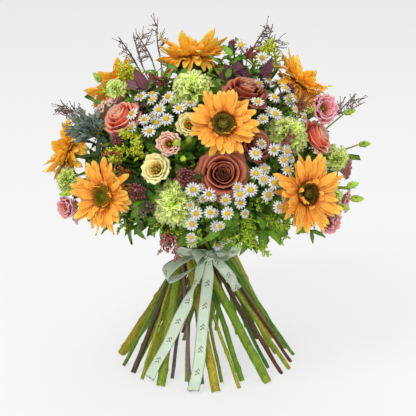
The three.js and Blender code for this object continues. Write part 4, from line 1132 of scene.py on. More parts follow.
def plant_rose(name, paint):
    node = f"rose_{name}"
    base, axis, size = fit(heads_of(solid_of(f"{node}_petals"), "rose")[0], 6, 19)
    axes = Axes(base + axis * size * MM, axis)
    petals, leaves = Petals(paint), Bed(LEAVES, DEEP_LEAF)
    turn = rose_bloom(petals, axes, size)
    stalks = Stalks(GREEN_STALK if name in ("front", "high", "left") else DARK_STALK, 12)
    crown = [(axes.at(0, 0, z * size), r) for z, r in (
        (-13, 2.9), (-9, 3.2), (-5.6, 3.6), (-3.4, 4.8 * size), (-1.2, 5.2 * size), (1.5, 4.2 * size))]
    line = grow_stem(stalks, f"{node}_stem", axes.origin, crown)
    for k in range(5):
        angle = turn + k * 2 * math.pi / 5
        leaves.add(axes.polar(angle, 3.6 * size, -2 * size), axes.way(angle, 1, -0.35), axes.z,
                   (0.36, 0.42 * size, 0.5), kind=0)
    leafy(leaves, line, 34 * MM, 5, 0.95)
    plant_all(node, "rose_bronze" if paint is BRONZE else "rose_coral", f"{node}_petals", bloom=petals)
    plant_all(node, "rose_stem", f"{node}_stem", stalk=stalks, leaves=leaves)


def leafy(bed, line, first, count, size, gap=15):
    """Leaves up a stem: each leads away from it and up, by the golden angle."""
    start = chance.uniform(0, 6)
    for k in range(count):
        spot, along = line.at(first + k * gap * MM)
        side = around(along, start + k * GOLDEN)
        way = side + along * chance.uniform(0.2, 0.9)
        bed.add(spot, way, along, size * chance.uniform(0.75, 1.1))


for name, paint in ROSES.items():
    plant_rose(name, paint)


# ---------------------------------------------------------------- carnations
def frill_head(frills, axes, size, count):
    """A ball of ruffled petals, the lowest turned down and the last ones upright."""
    for k in range(count):
        share = k / (count - 1)
        rise = math.radians(-14 + 100 * share ** 0.9 + chance.uniform(-5, 5))
        turn = k * GOLDEN + chance.uniform(-0.2, 0.2)
        root = axes.polar(turn, 3.0 * (1 - share) * size, (0.5 + 4 * share) * size)
        way = axes.way(turn, math.cos(rise), math.sin(rise))
        up = axes.way(turn, -math.sin(rise), math.cos(rise))
        long = (1.08 - 0.22 * share) * size * chance.uniform(0.74, 1.07)
        wide = long * chance.uniform(0.75, 1.0)
        # the low, turned-down petals get lower shades and the upright ones higher: painted shade under the
        # head and painted light on its top.
        shade = 0.35 + 0.45 * share + chance.uniform(-0.15, 0.15)
        frills.add(root, way, up, (wide, long, long), shade=shade)


FRILL_COUNT, SMALL_FRILL_COUNT = 74, 40
# heights along the bloom's axis, and radii, of a carnation's long cup at its usual size
CARNATION_CUP = ((-24, 2.4), (-20.5, 3.4), (-17.5, 5.0), (-9, 5.6), (-1, 5.4), (2, 6.2))
# smaller half-open heads on side stalks: place, way and size
MORE_FRILLS = {
    "low": [((-164, -25, 236), (-0.9, -0.6, 0.1), 0.62)],
    "right": [((150, -25, 262), (0.9, -0.6, 0.2), 0.62), ((146, -42, 222), (0.9, -0.7, 0.0), 0.5)],
    "top": [((-104, -45, 350), (-0.5, -0.5, 0.8), 0.5)],
}


def plant_carnation(name):
    node = f"carnation_{name}"
    foot, axis, size = fit(heads_of(solid_of(node), "carnation")[0], 8, 37)
    axes = Axes(foot + axis * 19 * size * MM, axis)
    frills, stalks, straps = Bed(FRILLS, LIME), Stalks(PALE_STALK, 12), Bed(STRAPS, BLUE_LEAF)
    frill_head(frills, axes, size, FRILL_COUNT)
    crown = [(axes.at(0, 0, z * size), r * size) for z, r in CARNATION_CUP]
    line = grow_stem(stalks, node, axes.origin, crown)
    for place, way, small in MORE_FRILLS.get(name, ()):
        own = Axes(spot_at(place), Vector(way))
        frill_head(frills, own, small, SMALL_FRILL_COUNT)
        path = side_stalk(stalks, own.at(0, 0, -22 * small), -own.z, line, 1.1)
        stalks.add([path[0], own.at(0, 0, -14 * small), own.at(0, 0, -4 * small), own.at(0, 0, 1)],
                   [1.3 * MM, 4.6 * small * MM, 5.4 * small * MM, 5.6 * small * MM])
    for k in range(4):
        spot, along = line.at((48 + 34 * (k // 2)) * MM)
        side = around(along, (k % 2) * math.pi + k)
        straps.add(spot, side * 0.8 + along, along, (0.8, chance.uniform(1.0, 1.4), 1))
    plant_all(node, "carnation", node, frills=frills, stalk=stalks, leaves=straps)


for name in ("top", "low", "right", "back"):
    plant_carnation(name)


# ---------------------------------------------------------------- heads on branches
def branch_path(head, line, seat):
    """A branch's middle line from its head's seat through its own middle to its stem."""
    middle = head["stalk"][1] if len(head["stalk"]) > 1 else seat.lerp(line.at(30 * MM)[0], 0.5)
    end = line.at(line.nearest(middle + (middle - seat) * 0.7))[0]
    pull = middle * 2 - (seat + end) / 2
    points = []
    for i in range(9):
        t = i / 8
        points.append(seat * (1 - t) ** 2 + pull * 2 * t * (1 - t) + end * t * t)
    return points


def branch(stalks, head, line, seat, thin=0.8, thick=1.3):
    path = branch_path(head, line, seat)
    stalks.add(path, [(thin + (thick - thin) * i / 8) * MM for i in range(9)])
    return path


def leaf_places(node, line):
    """The root and tip of each leaf of a node, found from the two corners over its middle."""
    solid, found = solid_of(node), []
    for i, near in enumerate(solid.near):
        if len(near) < 7:
            continue
        tip = max((solid.points[j] for j in near), key=lambda p: (p - solid.points[i]).length)
        root = solid.points[i] + (solid.points[i] - tip) * 0.8
        joint = line.at(line.nearest(root))[0]
        new = all((tip - other).length > 2 * MM for _, other in found)
        if new and (tip - root).length > 18 * MM and (joint - root).length < 8 * MM:
            found.append((joint, tip))
    return found


def dress_leaves(bed, node, line, long):
    """Leaves where the node has them, each stretched from its root to its tip."""
    for root, tip in leaf_places(node, line):
        reach = (tip - root).length / (long * MM)
        bed.add(root, tip - root, Vector((0, 0, 1)), (min(1.3, reach), reach, reach))


# ---------------------------------------------------------------- lisianthus
FIFTH_TURN, EIGHTH_TURN = 1.2566, 0.785  # in radians


def cup_petal(turn, rim, top, half, ripple, tuck):
    """A rounded petal of a bowl-shaped bloom: a steep throat, then a rim that turns out flat."""
    def surface(u, v):
        throat = 0.7 * np.clip(v / 0.6, 0, 1) ** 0.65
        spread = 0.3 * np.clip((v - 0.5) / 0.5, 0, 1) ** 1.5
        r = 1.6 + (rim - 1.6) * (throat + spread)
        z = -5.0 + (top + 5.0) * np.sin(math.pi / 2 * np.clip(v * 1.05, 0, 1.05)) ** 1.1
        r = r * (1 - 0.10 * np.abs(u) ** 3 * v) + tuck * u * v
        z = z - 1.6 * np.clip((v - 0.8) / 0.2, 0, 1) ** 2 - 1.8 * np.abs(u) ** 3 * v
        z = z + ripple * np.sin(u * 6 + turn * 3) * v ** 3
        r = r + ripple * 0.5 * np.sin(u * 9 + turn * 5) * v ** 4
        fan = (0.7 + 0.3 * np.sin(math.pi * np.clip(v, 0, 1) * 0.7)) * (1 - 0.25 * v ** 6)
        angle = turn + u * half * fan
        return r * np.cos(angle), r * np.sin(angle), z
    return surface


def add_sepals(beds, axes, seat, out, size):
    for k in range(5):
        beds.sepals.add(seat, axes.way(k * FIFTH_TURN, out, 1), axes.z, size)


def open_bowl(axes, size, rim, top, beds):
    """A double bloom: two rounds of outer petals, a throat inside them, and its pistil and anthers."""
    turn = chance.uniform(0, 6)
    for k in range(5):
        rise = chance.uniform(-2.0, 1.5)
        reach = rim * chance.uniform(1.08, 1.2)
        shape = cup_petal(turn + k * FIFTH_TURN, reach, top + rise, 0.9, 1.7, 0.8)
        beds.petals.add(shape, axes, size, 16, 11)
    for k in range(5):
        rise = chance.uniform(0.6, 3.0)
        shape = cup_petal(turn + 0.6 + k * FIFTH_TURN, rim * 0.9, top + rise, 0.86, 1.3, 0.9)
        beds.petals.add(shape, axes, size, 14, 10)
    for k in range(4):
        shape = cup_petal(turn + 0.2 + k * 1.6, rim * 0.66, top + 1.6, 0.95, 0.8, 0.8)
        beds.throats.add(shape, axes, size, 14, 10)
    for k in range(8):
        angle = turn + k * EIGHTH_TURN
        tip = axes.polar(angle, 3.4 * size, 6.6 * size)
        beds.anthers.add(tip, axes.way(angle, 0.6, 1), axes.z, (1.9, 2.4, 1.9))
        thread = [axes.polar(angle, 0.9, 1), axes.polar(angle, 3.2 * size, 6.8 * size)]
        beds.stalks.add(thread, [0.25 * MM, 0.2 * MM])
    beds.pistils.add(axes.at(0, 0, 2 * size), axes.z, axes.x, (0.55 * size, 2.0 * size, 0.55 * size))
    add_sepals(beds, axes, axes.at(0, 0, -3.5 * size), 0.55, (1.6, 1.0, 1))


# blooms and buds beside those of the solids, by their stem: place, way and size
MORE_BOWLS = {
    "left_high": [((-40, -125, 307), (-0.25, -1, 0.35), 0.95)],
    "left_low": [((-158, -52, 212), (-0.75, -0.8, 0.1), 0.9)],
    "right": [((128, -22, 320), (0.6, -0.9, 0.35), 1.2)],
    "right_low": [((136, -48, 196), (0.5, -0.9, 0.0), 1.1)],
}
MORE_BUDS = {
    "left_high": [((-21, -130, 311), (0.2, -1, 0.8), 0.95), ((-28, -134, 293), (0.3, -1, 0.3), 0.9)],
    "right": [((163, -40, 232), (1, -0.5, 0.5), 1.1), ((168, -30, 214), (1, -0.3, 0.1), 1.15)],
}


def more_blooms(name, line, beds):
    for place, way, size in MORE_BOWLS.get(name, ()):
        axes = Axes(spot_at(place), Vector(way))
        open_bowl(axes, size, 13.0, 13.5, beds)
        side_stalk(beds.stalks, axes.at(0, 0, 0), -axes.z, line, 1.3)
    for place, way, size in MORE_BUDS.get(name, ()):
        axes = Axes(spot_at(place), Vector(way))
        beds.buds.add(axes.origin, axes.z, axes.x, size, kind=0)
        side_stalk(beds.stalks, axes.at(0, 0, 1), -axes.z, line, 0.9)
        add_sepals(beds, axes, axes.origin, 0.5, (1.3, 0.9, 1))


def solid_bowls(solid, line, beds):
    """An open bloom where the solid has one, as wide and as deep as that."""
    for head in heads_of(solid, "bowl"):
        low, axis, size = fit(head, 3, 7)
        axes = Axes(low - axis * 2.5 * size * MM, axis)
        ring = [p - axes.origin for p in head["rings"][2]]
        rim = sum((p - axis * p.dot(axis)).length for p in ring) / len(ring) / MM / size
        top = sum(p.dot(axis) for p in ring) / len(ring) / MM / size
        open_bowl(axes, size, rim, top, beds)
        branch(beds.stalks, head, line, axes.at(0, 0, 0.5 * size), 1.3, 1.7)


def solid_buds(solid, line, beds):
    for head in heads_of(solid, "bud"):
        low, _, size = fit(head, 2, 15)
        axes = Axes(low, head["tip"] - low)
        beds.buds.add(axes.at(0, 0, 0.5 * size), axes.z, axes.x, size, kind=0)
        branch(beds.stalks, head, line, low, 0.9, 1.4)
        add_sepals(beds, axes, low, 0.5, (1.3, 0.9, 1))


def plant_lisianthus(name, paint, outside):
    node = f"lisianthus_{name}"
    solid = solid_of(node)
    beds = SimpleNamespace(
        petals=Petals(outside), throats=Petals(paint), stalks=Stalks(PALE_STALK, 8),
        pistils=Bed(EYES, PISTIL), anthers=Bed(SPECKS, ANTHER), buds=Bed(BUDS, LEMON),
        sepals=Bed(NEEDLES, GREEN_LEAF), leaves=Bed(LEAVES, GREEN_LEAF))
    line = grow_stem(beds.stalks, node)
    solid_bowls(solid, line, beds)
    solid_buds(solid, line, beds)
    more_blooms(name, line, beds)
    dress_leaves(beds.leaves, node, line, LEAF_LONG)
    leafy(beds.leaves, line, 20 * MM, 7, 0.75, 9)
    slot = "lisianthus_cream" if paint is CREAM else "lisianthus_pink"
    plant_all(node, slot, node, **vars(beds))


for name in ("front", "back"):
    plant_lisianthus(name, CREAM, CREAM_BACK)
plant_lisianthus("left_high", BLUSH, BLUSH_BACK)
for name in ("left_low", "right", "right_low"):
    plant_lisianthus(name, PINK, PINK_BACK)


# ---------------------------------------------------------------- chamomile
def add_daisy(beds, axes, size):
    count = chance.randint(11, 14)
    droop = chance.choice((0, 0, 1, 2))
    turn = chance.uniform(0, 6)
    for k in range(count):
        angle = turn + 2 * math.pi * k / count + chance.uniform(-0.08, 0.08)
        way = axes.way(angle, 1, chance.uniform(-0.12, 0.2))
        wide, long = size * chance.uniform(0.85, 1.1), size * chance.uniform(0.88, 1.06)
        beds.rays.add(axes.polar(angle, 2.3 * size, 0.1), way, axes.z, (wide, long, size), kind=droop)
    beds.eyes.add(axes.at(0, 0, -1.3 * size), axes.z, axes.x, size, kind=0)


NEEDLE_COUNT = 26
# daisies beside the knot and at the top: place and way
MORE_DAISIES = {
    "low": [((-18, -84, 180), (-0.2, -1, 0.4)), ((12, -66, 170), (0.2, -1, 0.3)),
            ((22, -88, 186), (0.2, -1, 0.1))],
    "high": [((38, -30, 398), (0, -1, 0.5)), ((62, -44, 386), (0.2, -1, 0.4))],
}


def daisy_pair(beds, head, line):
    """A solid's daisy on its branch, with a smaller one and a few needles beside it."""
    ring = centre(head["rings"][0])
    axis = (head["tip"] - ring).normalized()
    axes = Axes(ring, axis)
    size = sum((p - ring).length for p in head["rings"][0]) / 12 / (6.6 * MM)
    add_daisy(beds, axes, size)
    path = branch(beds.stalks, head, line, ring - axis * MM, 0.55, 0.95)
    small = size * chance.uniform(0.72, 0.98)
    turn = chance.uniform(0, 6)
    spot = axes.polar(turn, chance.uniform(12, 17), chance.uniform(-9, -2))
    own = Axes(spot, axes.way(turn, 0.35, 1))
    add_daisy(beds, own, small)
    side = bend(spot - own.z * MM, -own.z, path[5], path[5] - path[2], 6)
    beds.stalks.add(side, [0.5 * MM] * 6 + [0.7 * MM])
    for place in path[2:7]:
        way = axes.way(chance.uniform(0, 6), 1, chance.uniform(0.2, 1.2))
        beds.leaves.add(place, way, axes.z, (1.2, chance.uniform(0.5, 1.1), 1))


def plant_chamomile(name):
    node = f"chamomile_{name}"
    beds = SimpleNamespace(rays=Bed(DAISY_RAYS, WHITE), eyes=Bed(EYES, YOLK),
                           stalks=Stalks(GREEN_STALK, 6), leaves=Bed(NEEDLES, GREEN_LEAF))
    line = grow_stem(beds.stalks, node)
    for head in heads_of(solid_of(node), "daisy"):
        daisy_pair(beds, head, line)
    for place, way in MORE_DAISIES.get(name, ()):
        own = Axes(spot_at(place), Vector(way))
        add_daisy(beds, own, 0.95)
        side_stalk(beds.stalks, own.at(0, 0, -1), -own.z, line, 0.5)
    for k in range(NEEDLE_COUNT):
        spot, along = line.at(chance.uniform(4, 60) * MM)
        way = around(along, k * GOLDEN) + along * chance.uniform(0.1, 1)
        beds.leaves.add(spot, way, along, (2.0, chance.uniform(1.0, 2.0), 1))
    plant_all(node, "chamomile", node, **vars(beds))


for name in ("left", "low", "right", "high", "back"):
    plant_chamomile(name)


# ---------------------------------------------------------------- goldenrod
PLUME_SPRIGS = 24


def gold_plume(beds, spine, young):
    """Side sprigs up a spine, longest low down, each strung with florets."""
    for k in range(PLUME_SPRIGS):
        far = spine.length * (k + 0.2) / PLUME_SPRIGS
        spot, along = spine.at(far)
        side = around(along, k * GOLDEN)
        long = (3.0 + 7.5 * min(1, far / spine.length * 1.6)) * MM
        end = spot + side * long * 0.85 + along * long * 0.5
        sprig = bend(spot, side + along * 1.4, end, side, 5)
        beds.stalks.taper(sprig, 0.3)
        count = int(5 + long / MM * (0.3 if young else 0.95))
        for i in range(count):
            place = int((i + 1) / count * 5)
            at = sprig[place].lerp(sprig[max(0, place - 1)], chance.random())
            way = stray() + along * 1.2 + side * 0.6
            beds.florets.add(at, way, along, chance.uniform(0.75, 1.15))


def plant_goldenrod(name):
    node = f"goldenrod_{name}"
    young = name == "low"
    beds = SimpleNamespace(florets=Bed(GOLD_BUDS, YOUNG_GOLD if young else GOLD),
                           stalks=Stalks(GREEN_STALK, 6), leaves=Bed(STRAPS, GREEN_LEAF))
    line = grow_stem(beds.stalks, node)
    for head in heads_of(solid_of(node), "plume"):
        spine = Line([centre(ring) for ring in head["rings"]][::-1] + [head["tip"]])
        path = branch(beds.stalks, head, line, spine.points[-1], 0.9, 1.2)
        beds.stalks.add(spine.points, [0.35 * MM + 0.08 * MM * i for i in range(len(spine.points))])
        gold_plume(beds, spine, young)
        for k in range(4):
            side = around(spine.at(0)[1], chance.uniform(0, 6))
            way = side * 0.7 + (path[0] - path[4]).normalized()
            beds.leaves.add(path[1 + k], way, side, (0.55, chance.uniform(0.5, 0.9), 1))
    plant_all(node, "goldenrod", node, **vars(beds))


for name in ("left", "high", "left_high", "low", "back"):
    plant_goldenrod(name)


# ---------------------------------------------------------------- berries
def hang_sprigs(beads, stalks, foot, count, long):
    """Thin red stalks that arch out and hang, strung with small long beads."""
    for k in range(count):
        way = Vector((1.2 * math.sin(k * 2.4), -0.9 - 0.5 * math.cos(k * 2.4), 0.35)).normalized()
        fall = way * chance.uniform(0.3, 0.75) + Vector((0, 0, -0.95))
        end = foot + fall * long * chance.uniform(0.4, 1.0) * MM
        path = bend(foot, way, end, Vector((way.x * 0.6, 0, -1)), 10, 0.45)
        stalks.taper(path, 0.6, -0.025)
        for i in range(2, 11):
            for _ in range(2):
                side = stray().normalized()
                spot = path[i] + side * chance.uniform(0.5, 2.6) * MM
                stalks.add([path[i], spot], [0.4 * MM, 0.3 * MM])
                lead = side + (path[i] - path[i - 1]).normalized()
                beads.add(spot, lead, way, chance.uniform(0.9, 1.4))


def seed_spray(beads, stalks, foot, way, count, long):
    """An upright spray of thin stalks, each strung with seeds."""
    for k in range(count):
        side = stray()
        end = foot + (way * 0.8 + side * 0.75) * long * chance.uniform(0.6, 1.0) * MM
        path = bend(foot, way, end, way + side, 8, 0.45)
        stalks.taper(path, 0.5, -0.03)
        for i in range(2, 9):
            for _ in range(3):
                side = stray()
                beads.add(path[i], side + (path[i] - path[i - 1]).normalized(), way, chance.uniform(0.7, 1.1))


FRUIT_COUNT = 64
# small seed sprays on side stalks of the front stem: paint, place and length
SEED_SPRAYS = (("rust", (-98, -100, 288), 24), ("rust", (-86, -108, 270), 22),
               ("mauve", (-64, -116, 244), 19), ("mauve", (-56, -116, 234), 22),
               ("red", (80, -104, 300), 20), ("red", (-50, -40, 352), 20),
               ("red", (45, -24, 380), 18), ("rust", (98, -62, 330), 22))


def fruit_head(beds, head):
    """A domed cluster of fruits, half of them on stalks that show. Returns the head's axes."""
    foot, axis, size = fit(head, 3, 13.3)
    axes = Axes(foot, axis)
    for k in range(FRUIT_COUNT):
        pole = math.radians(100) * math.sqrt((k + 0.5) / FRUIT_COUNT)
        reach = chance.uniform(0.72, 1.06)
        way = axes.way(k * GOLDEN, math.sin(pole), math.cos(pole))
        high = (3.5 + 8.5 * math.cos(pole)) * size * reach
        seat = axes.polar(k * GOLDEN, 10 * size * math.sin(pole) * reach, high) - way * 2 * MM
        beds.fruits.add(seat, way + axes.z * 0.4, axes.x, size * chance.uniform(0.75, 1.1))
        joint = axes.polar(k * GOLDEN, 2.5 * math.sin(pole), chance.uniform(0, 3))
        if k % 2:
            beds.stalks.add(bend(joint, axes.z, seat, way, 3), [0.4 * MM] * 3 + [0.3 * MM])
    return axes


def plant_seed_sprays(node, line, stalks):
    sprays = {"rust": Bed(SPRIG_BEADS, RUSTY), "mauve": Bed(SPRIG_BEADS, MAUVE),
              "red": Bed(SPRIG_BEADS, RUST_RED)}
    for paint, place, long in SEED_SPRAYS:
        foot = spot_at(place)
        side_stalk(stalks, foot, Vector((0, 0.5, -1)), line, 0.6)
        seed_spray(sprays[paint], stalks, foot, direction_of(foot), 11, long)
    plant_all(node, "berries", **{f"{paint}_seeds": bed for paint, bed in sprays.items()})


def plant_berries(name):
    node = f"berries_{name}"
    beds = SimpleNamespace(fruits=Bed(BEADS, WINE), sprigs=Bed(SPRIG_BEADS, ROSY),
                           stalks=Stalks(RED_STALK, 6), leaves=Bed(LEAVES, DEEP_LEAF))
    line = grow_stem(beds.stalks, node)
    heads = heads_of(solid_of(node), "cluster")
    lowest = min(heads, key=lambda h: h["tip"].z) if name == "left" else None
    for head in heads:
        if head is lowest:
            foot = centre(head["rings"][3])
            branch(beds.stalks, head, line, foot, 0.9, 1.3)
            hang_sprigs(beds.sprigs, beds.stalks, foot, 6, 36)
            continue
        axes = fruit_head(beds, head)
        branch(beds.stalks, head, line, axes.at(0, 0, 1), 0.9, 1.3)
        for k in range(3):
            beds.leaves.add(axes.at(0, 0, -5 - 5 * k), axes.way(k * 2.2, 1, 0.6), axes.z, 0.6)
    if name == "front":
        plant_seed_sprays(node, line, beds.stalks)
    plant_all(node, "berries", node, **vars(beds))


for name in ("left", "front", "high"):
    plant_berries(name)


# ---------------------------------------------------------------- dry twigs
def twig_spine(head):
    """The middles of a twig's rings, and the root and tip of each spike that a ring has grown."""
    middles, spikes = [], []
    for ring in head["rings"]:
        gap = {i: min((p - q).length for q in ring if q is not p) for i, p in enumerate(ring)}
        far = max(gap, key=gap.get)
        if gap[far] > 3 * MM:
            middles.append(centre([p for i, p in enumerate(ring) if i != far]))
            spikes.append((middles[-1], ring[far]))
        else:
            middles.append(centre(ring))
    return smooth_line([head["tip"], *middles], 1), spikes


def side_twig(stalks, knots, root, tip):
    """A crooked side twig with six short shoots, each with a bud at its end."""
    way = tip - root
    curl = stray() * 3 * MM
    side = [p + stray(0.4) * MM for p in bend(root, way, tip, way + curl, 6)]
    stalks.add(side, [r * MM for r in (0.75, 0.7, 0.64, 0.6, 0.52, 0.42, 0.3)])
    for at in side[1:]:
        off = around(way, chance.uniform(0, 6))
        end = at + (off * 0.8 + way.normalized()) * chance.uniform(4, 10) * MM
        stalks.add([at, at.lerp(end, 0.5) + off * 1.1 * MM, end], [r * MM for r in (0.46, 0.4, 0.28)])
        knots.add(end, end - at, off, chance.uniform(0.8, 1.3))
        knots.add(at, off, way, chance.uniform(0.6, 1.1))


def plant_twigs(name):
    node = f"twigs_{name}"
    stalks, knots = Stalks(BARK, 6), Bed(SPECKS, BARK)
    line = grow_stem(stalks, node)
    for head in heads_of(solid_of(node), "twig"):
        spine, spikes = twig_spine(head)
        branch(stalks, head, line, spine[-1], 0.75, 1.1)
        stalks.taper(spine, 0.5, 0.07)
        for root, tip in spikes:
            side_twig(stalks, knots, root, tip)
    plant_all(node, "twigs", node, wood=stalks, buds=knots)


for name in ("left_high", "left", "right"):
    plant_twigs(name)


# ---------------------------------------------------------------- foliage
def plant_foliage(node, slot, leaves, long, stalk_finish, more):
    """A leafy stem: the leaves that its solid has, then more by a function of its own."""
    stalks = Stalks(stalk_finish, 8)
    line = grow_stem(stalks, node)
    dress_leaves(leaves, node, line, long)
    more(leaves, line, stalks)
    plant_all(node, slot, node, blades=leaves, stalk=stalks)


def lengthened(line, stalks, reach):
    """The stem's last stretch, on past the node's own end towards the light."""
    end, along = line.at(0)
    way = (along + direction_of(end)).normalized()
    path = bend(end, along, end + way * reach * MM, way, 5)
    stalks.taper(path, 1.3, -0.14)
    return Line(path)


def purple_extra(leaves, line, stalks):
    tip = lengthened(line, stalks, 30)
    leafy(leaves, tip, 0, 5, 1.0, 7)
    leaves.add(tip.at(0)[0], tip.at(0)[1], Vector((0, -1, 0)), 0.8)
    leafy(leaves, line, 3 * MM, 5, 1.0, 9)


def purple_fan(leaves, line, stalks):
    """The same, and the round leaves that stand over the high rose."""
    purple_extra(leaves, line, stalks)
    foot = spot_at((32, -30, 350))
    side_stalk(stalks, foot, Vector((0, 0.4, -1)), line, 1.0)
    for lean, size in ((-1.0, 0.75), (-0.45, 0.95), (0.1, 1.0), (0.6, 0.9), (1.2, 0.7)):
        way, up = Vector((lean, -0.25, 1)), Vector((0.1 * lean, -1, 0.1))
        leaves.add(foot, way, up, (1.7 * size, 0.8 * size, size))


def blue_extra(leaves, line, stalks):
    """Side sprigs of straps: a tuft before the end of the stem, then all round its last stretch."""
    line = Line([*line.points[::-1], *lengthened(line, stalks, 26).points[::-1]])
    foot = spot_at((-128, -42, 300))
    side_stalk(stalks, foot, -direction_of(foot), line, 0.9)
    for _ in range(14):
        way = (direction_of(foot) * 0.7 + stray()).normalized()
        end = foot + way * chance.uniform(18, 31) * MM
        sprig = bend(foot, way, end, way + Vector((0, 0, 0.3)), 5)
        stalks.taper(sprig, 0.7)
        for i in range(10):
            own = around(way, i * GOLDEN)
            leaves.add(sprig[min(5, 1 + i // 2)], own * 1.3 + way, own,
                       (0.85, chance.uniform(0.22, 0.38), 0.8))
    for k in range(20):
        spot, along = line.at((1 + 3.4 * k) * MM)
        side = around(along, k * GOLDEN)
        end = spot + (side * 19 + along * 15) * MM
        sprig = bend(spot, side + along, end, side * 0.5 + along, 5)
        stalks.taper(sprig, 0.7)
        for i in range(9):
            own = Quaternion(sprig[5] - sprig[4], i * GOLDEN) @ along.orthogonal().normalized()
            leaves.add(sprig[min(5, 1 + i // 2)], own * 0.9 + (sprig[5] - sprig[3]).normalized(), along,
                       (0.72, chance.uniform(0.26, 0.44), 0.8))


# leaves that hang over the tie on both sides of the knot: place, way and size
TIE_LEAVES = (((-24, -58, 184), (-1, -0.4, -0.1), 0.62), ((-22, -60, 182), (-0.8, -0.5, -0.9), 0.6),
              ((-14, -60, 184), (-0.2, -0.6, -1), 0.55), ((-6, -62, 190), (0.2, -0.7, -0.8), 0.6),
              ((22, -52, 184), (0.1, -0.3, -1), 0.8), ((28, -50, 190), (0.8, -0.4, -0.7), 0.7),
              ((-34, -50, 190), (-0.9, -0.2, -0.7), 0.7), ((8, -62, 192), (0.5, -0.8, -0.5), 0.55))


def green_extra(leaves, line, stalks):
    """More leaves up the stem, and those that hang over the tie."""
    leafy(leaves, line, 4 * MM, 10, 0.8, 8)
    for place, way, size in TIE_LEAVES:
        spot = spot_at(place)
        leaves.add(spot, Vector(way), Vector((0, -1, 0.6)), (size * 1.2, size, size))
        side_stalk(stalks, spot, Vector((0, 1, 0.1)), line, 0.6)


plant_foliage("dark_leaves_left", "dark_leaves", Bed(LEAVES, PURPLE_LEAF), LEAF_LONG,
              RED_STALK, purple_extra)
plant_foliage("dark_leaves_right", "dark_leaves", Bed(LEAVES, PURPLE_LEAF), LEAF_LONG,
              RED_STALK, purple_fan)
plant_foliage("blue_foliage", "blue_foliage", Bed(STRAPS, BLUE_LEAF), STRAP_LONG,
              PALE_STALK, blue_extra)
plant_foliage("green_foliage", "green_leaves", Bed(LEAVES, GREEN_LEAF), LEAF_LONG,
              GREEN_STALK, green_extra)


# ---------------------------------------------------------------- filling greenery
DOME_ACROSS, DOME_UP = 160, 150  # the dome's half-width and its height over its middle
FILL_TWIGS, DEEP_TWIGS, FERN_NEEDLES = 300, 150, 44


def direction(azimuth, polar):
    """The way out of the dome at an azimuth from the front and an angle from the top, in degrees."""
    turn, down = math.radians(azimuth), math.radians(polar)
    return Vector((math.sin(down) * math.sin(turn), -math.sin(down) * math.cos(turn), math.cos(down)))


def dome_point(way, lift):
    across, up = (DOME_ACROSS + lift) * MM, (DOME_UP + lift) * MM
    return DOME_MIDDLE + Vector((way.x * across, way.y * across, way.z * up))


def blooms_in_the_way():
    """A tree of every sunflower, rose, carnation and lisianthus, to keep the filling off them."""
    whole = bmesh.new()
    for node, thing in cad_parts.items():
        if node.split("_")[0] in ("sunflower", "rose", "carnation", "lisianthus"):
            whole.from_mesh(thing.data)
    tree = BVHTree.FromBMesh(whole)
    whole.free()
    return tree


def free_spot(tree, way, lift):
    """A spot under the dome, drawn in until it clears the blooms. Returns it and its lift."""
    spot = dome_point(way, lift)
    for _ in range(8):
        gap = tree.find_nearest(spot)[3]
        ahead = tree.ray_cast(spot, way, 30 * MM)[3]
        if gap > 7 * MM and (ahead is None or lift < -30):
            break
        lift -= 7
        spot = dome_point(way, lift)
    return spot, lift


def inner_twig(stalks, spot, way, share, steps, radius, step, raised=0.0):
    """A twig to a spot, from a share of the way there from the tie. Returns its line."""
    root = TIE + (spot - TIE) * share + Vector((0, 0, raised))
    path = bend(root, root - TIE, spot, way, steps)
    stalks.taper(path, radius, step)
    return Line(path)


# where leafy twigs close a gap, near the top and at the left, from the axis at the floor
THIN_PLACES = ((16, -14, 376), (27, -22, 382), (40, -10, 386), (52, -28, 372), (22, -44, 362), (64, -34, 360),
               (-62, -20, 366), (-50, -36, 358), (-72, -34, 350), (-34, -30, 368), (-84, -46, 340),
               (-128, -20, 262), (-138, -22, 250), (-140, -30, 234), (-142, -28, 212))


def leafy_twig(beds, kind, line, spot, way, near):
    """The leaves of one filling twig. A twig near the surface has smaller ones."""
    if kind == "sprig":
        lime_sprig(beds.lime_buds, beds.fern_leaves, beds.stalks, line, way)
    elif kind == "fern":
        for i in range(FERN_NEEDLES):
            at, along = line.at(i * 1.25 * MM)
            side = around(along, i * GOLDEN)
            beds.fern_leaves.add(at, side + along * 0.8, along, (2.4, 0.9 + 0.02 * i, 1))
    else:
        bed = beds.deep_leaves if kind == "deep" else beds.fresh_leaves
        size = chance.uniform(0.5, 0.85) if near else chance.uniform(0.8, 1.2)
        leafy(bed, line, 0.0, 10, size, 6.5)
        bed.add(spot, way + Vector((0, 0, 0.1)), along_up(way), size)


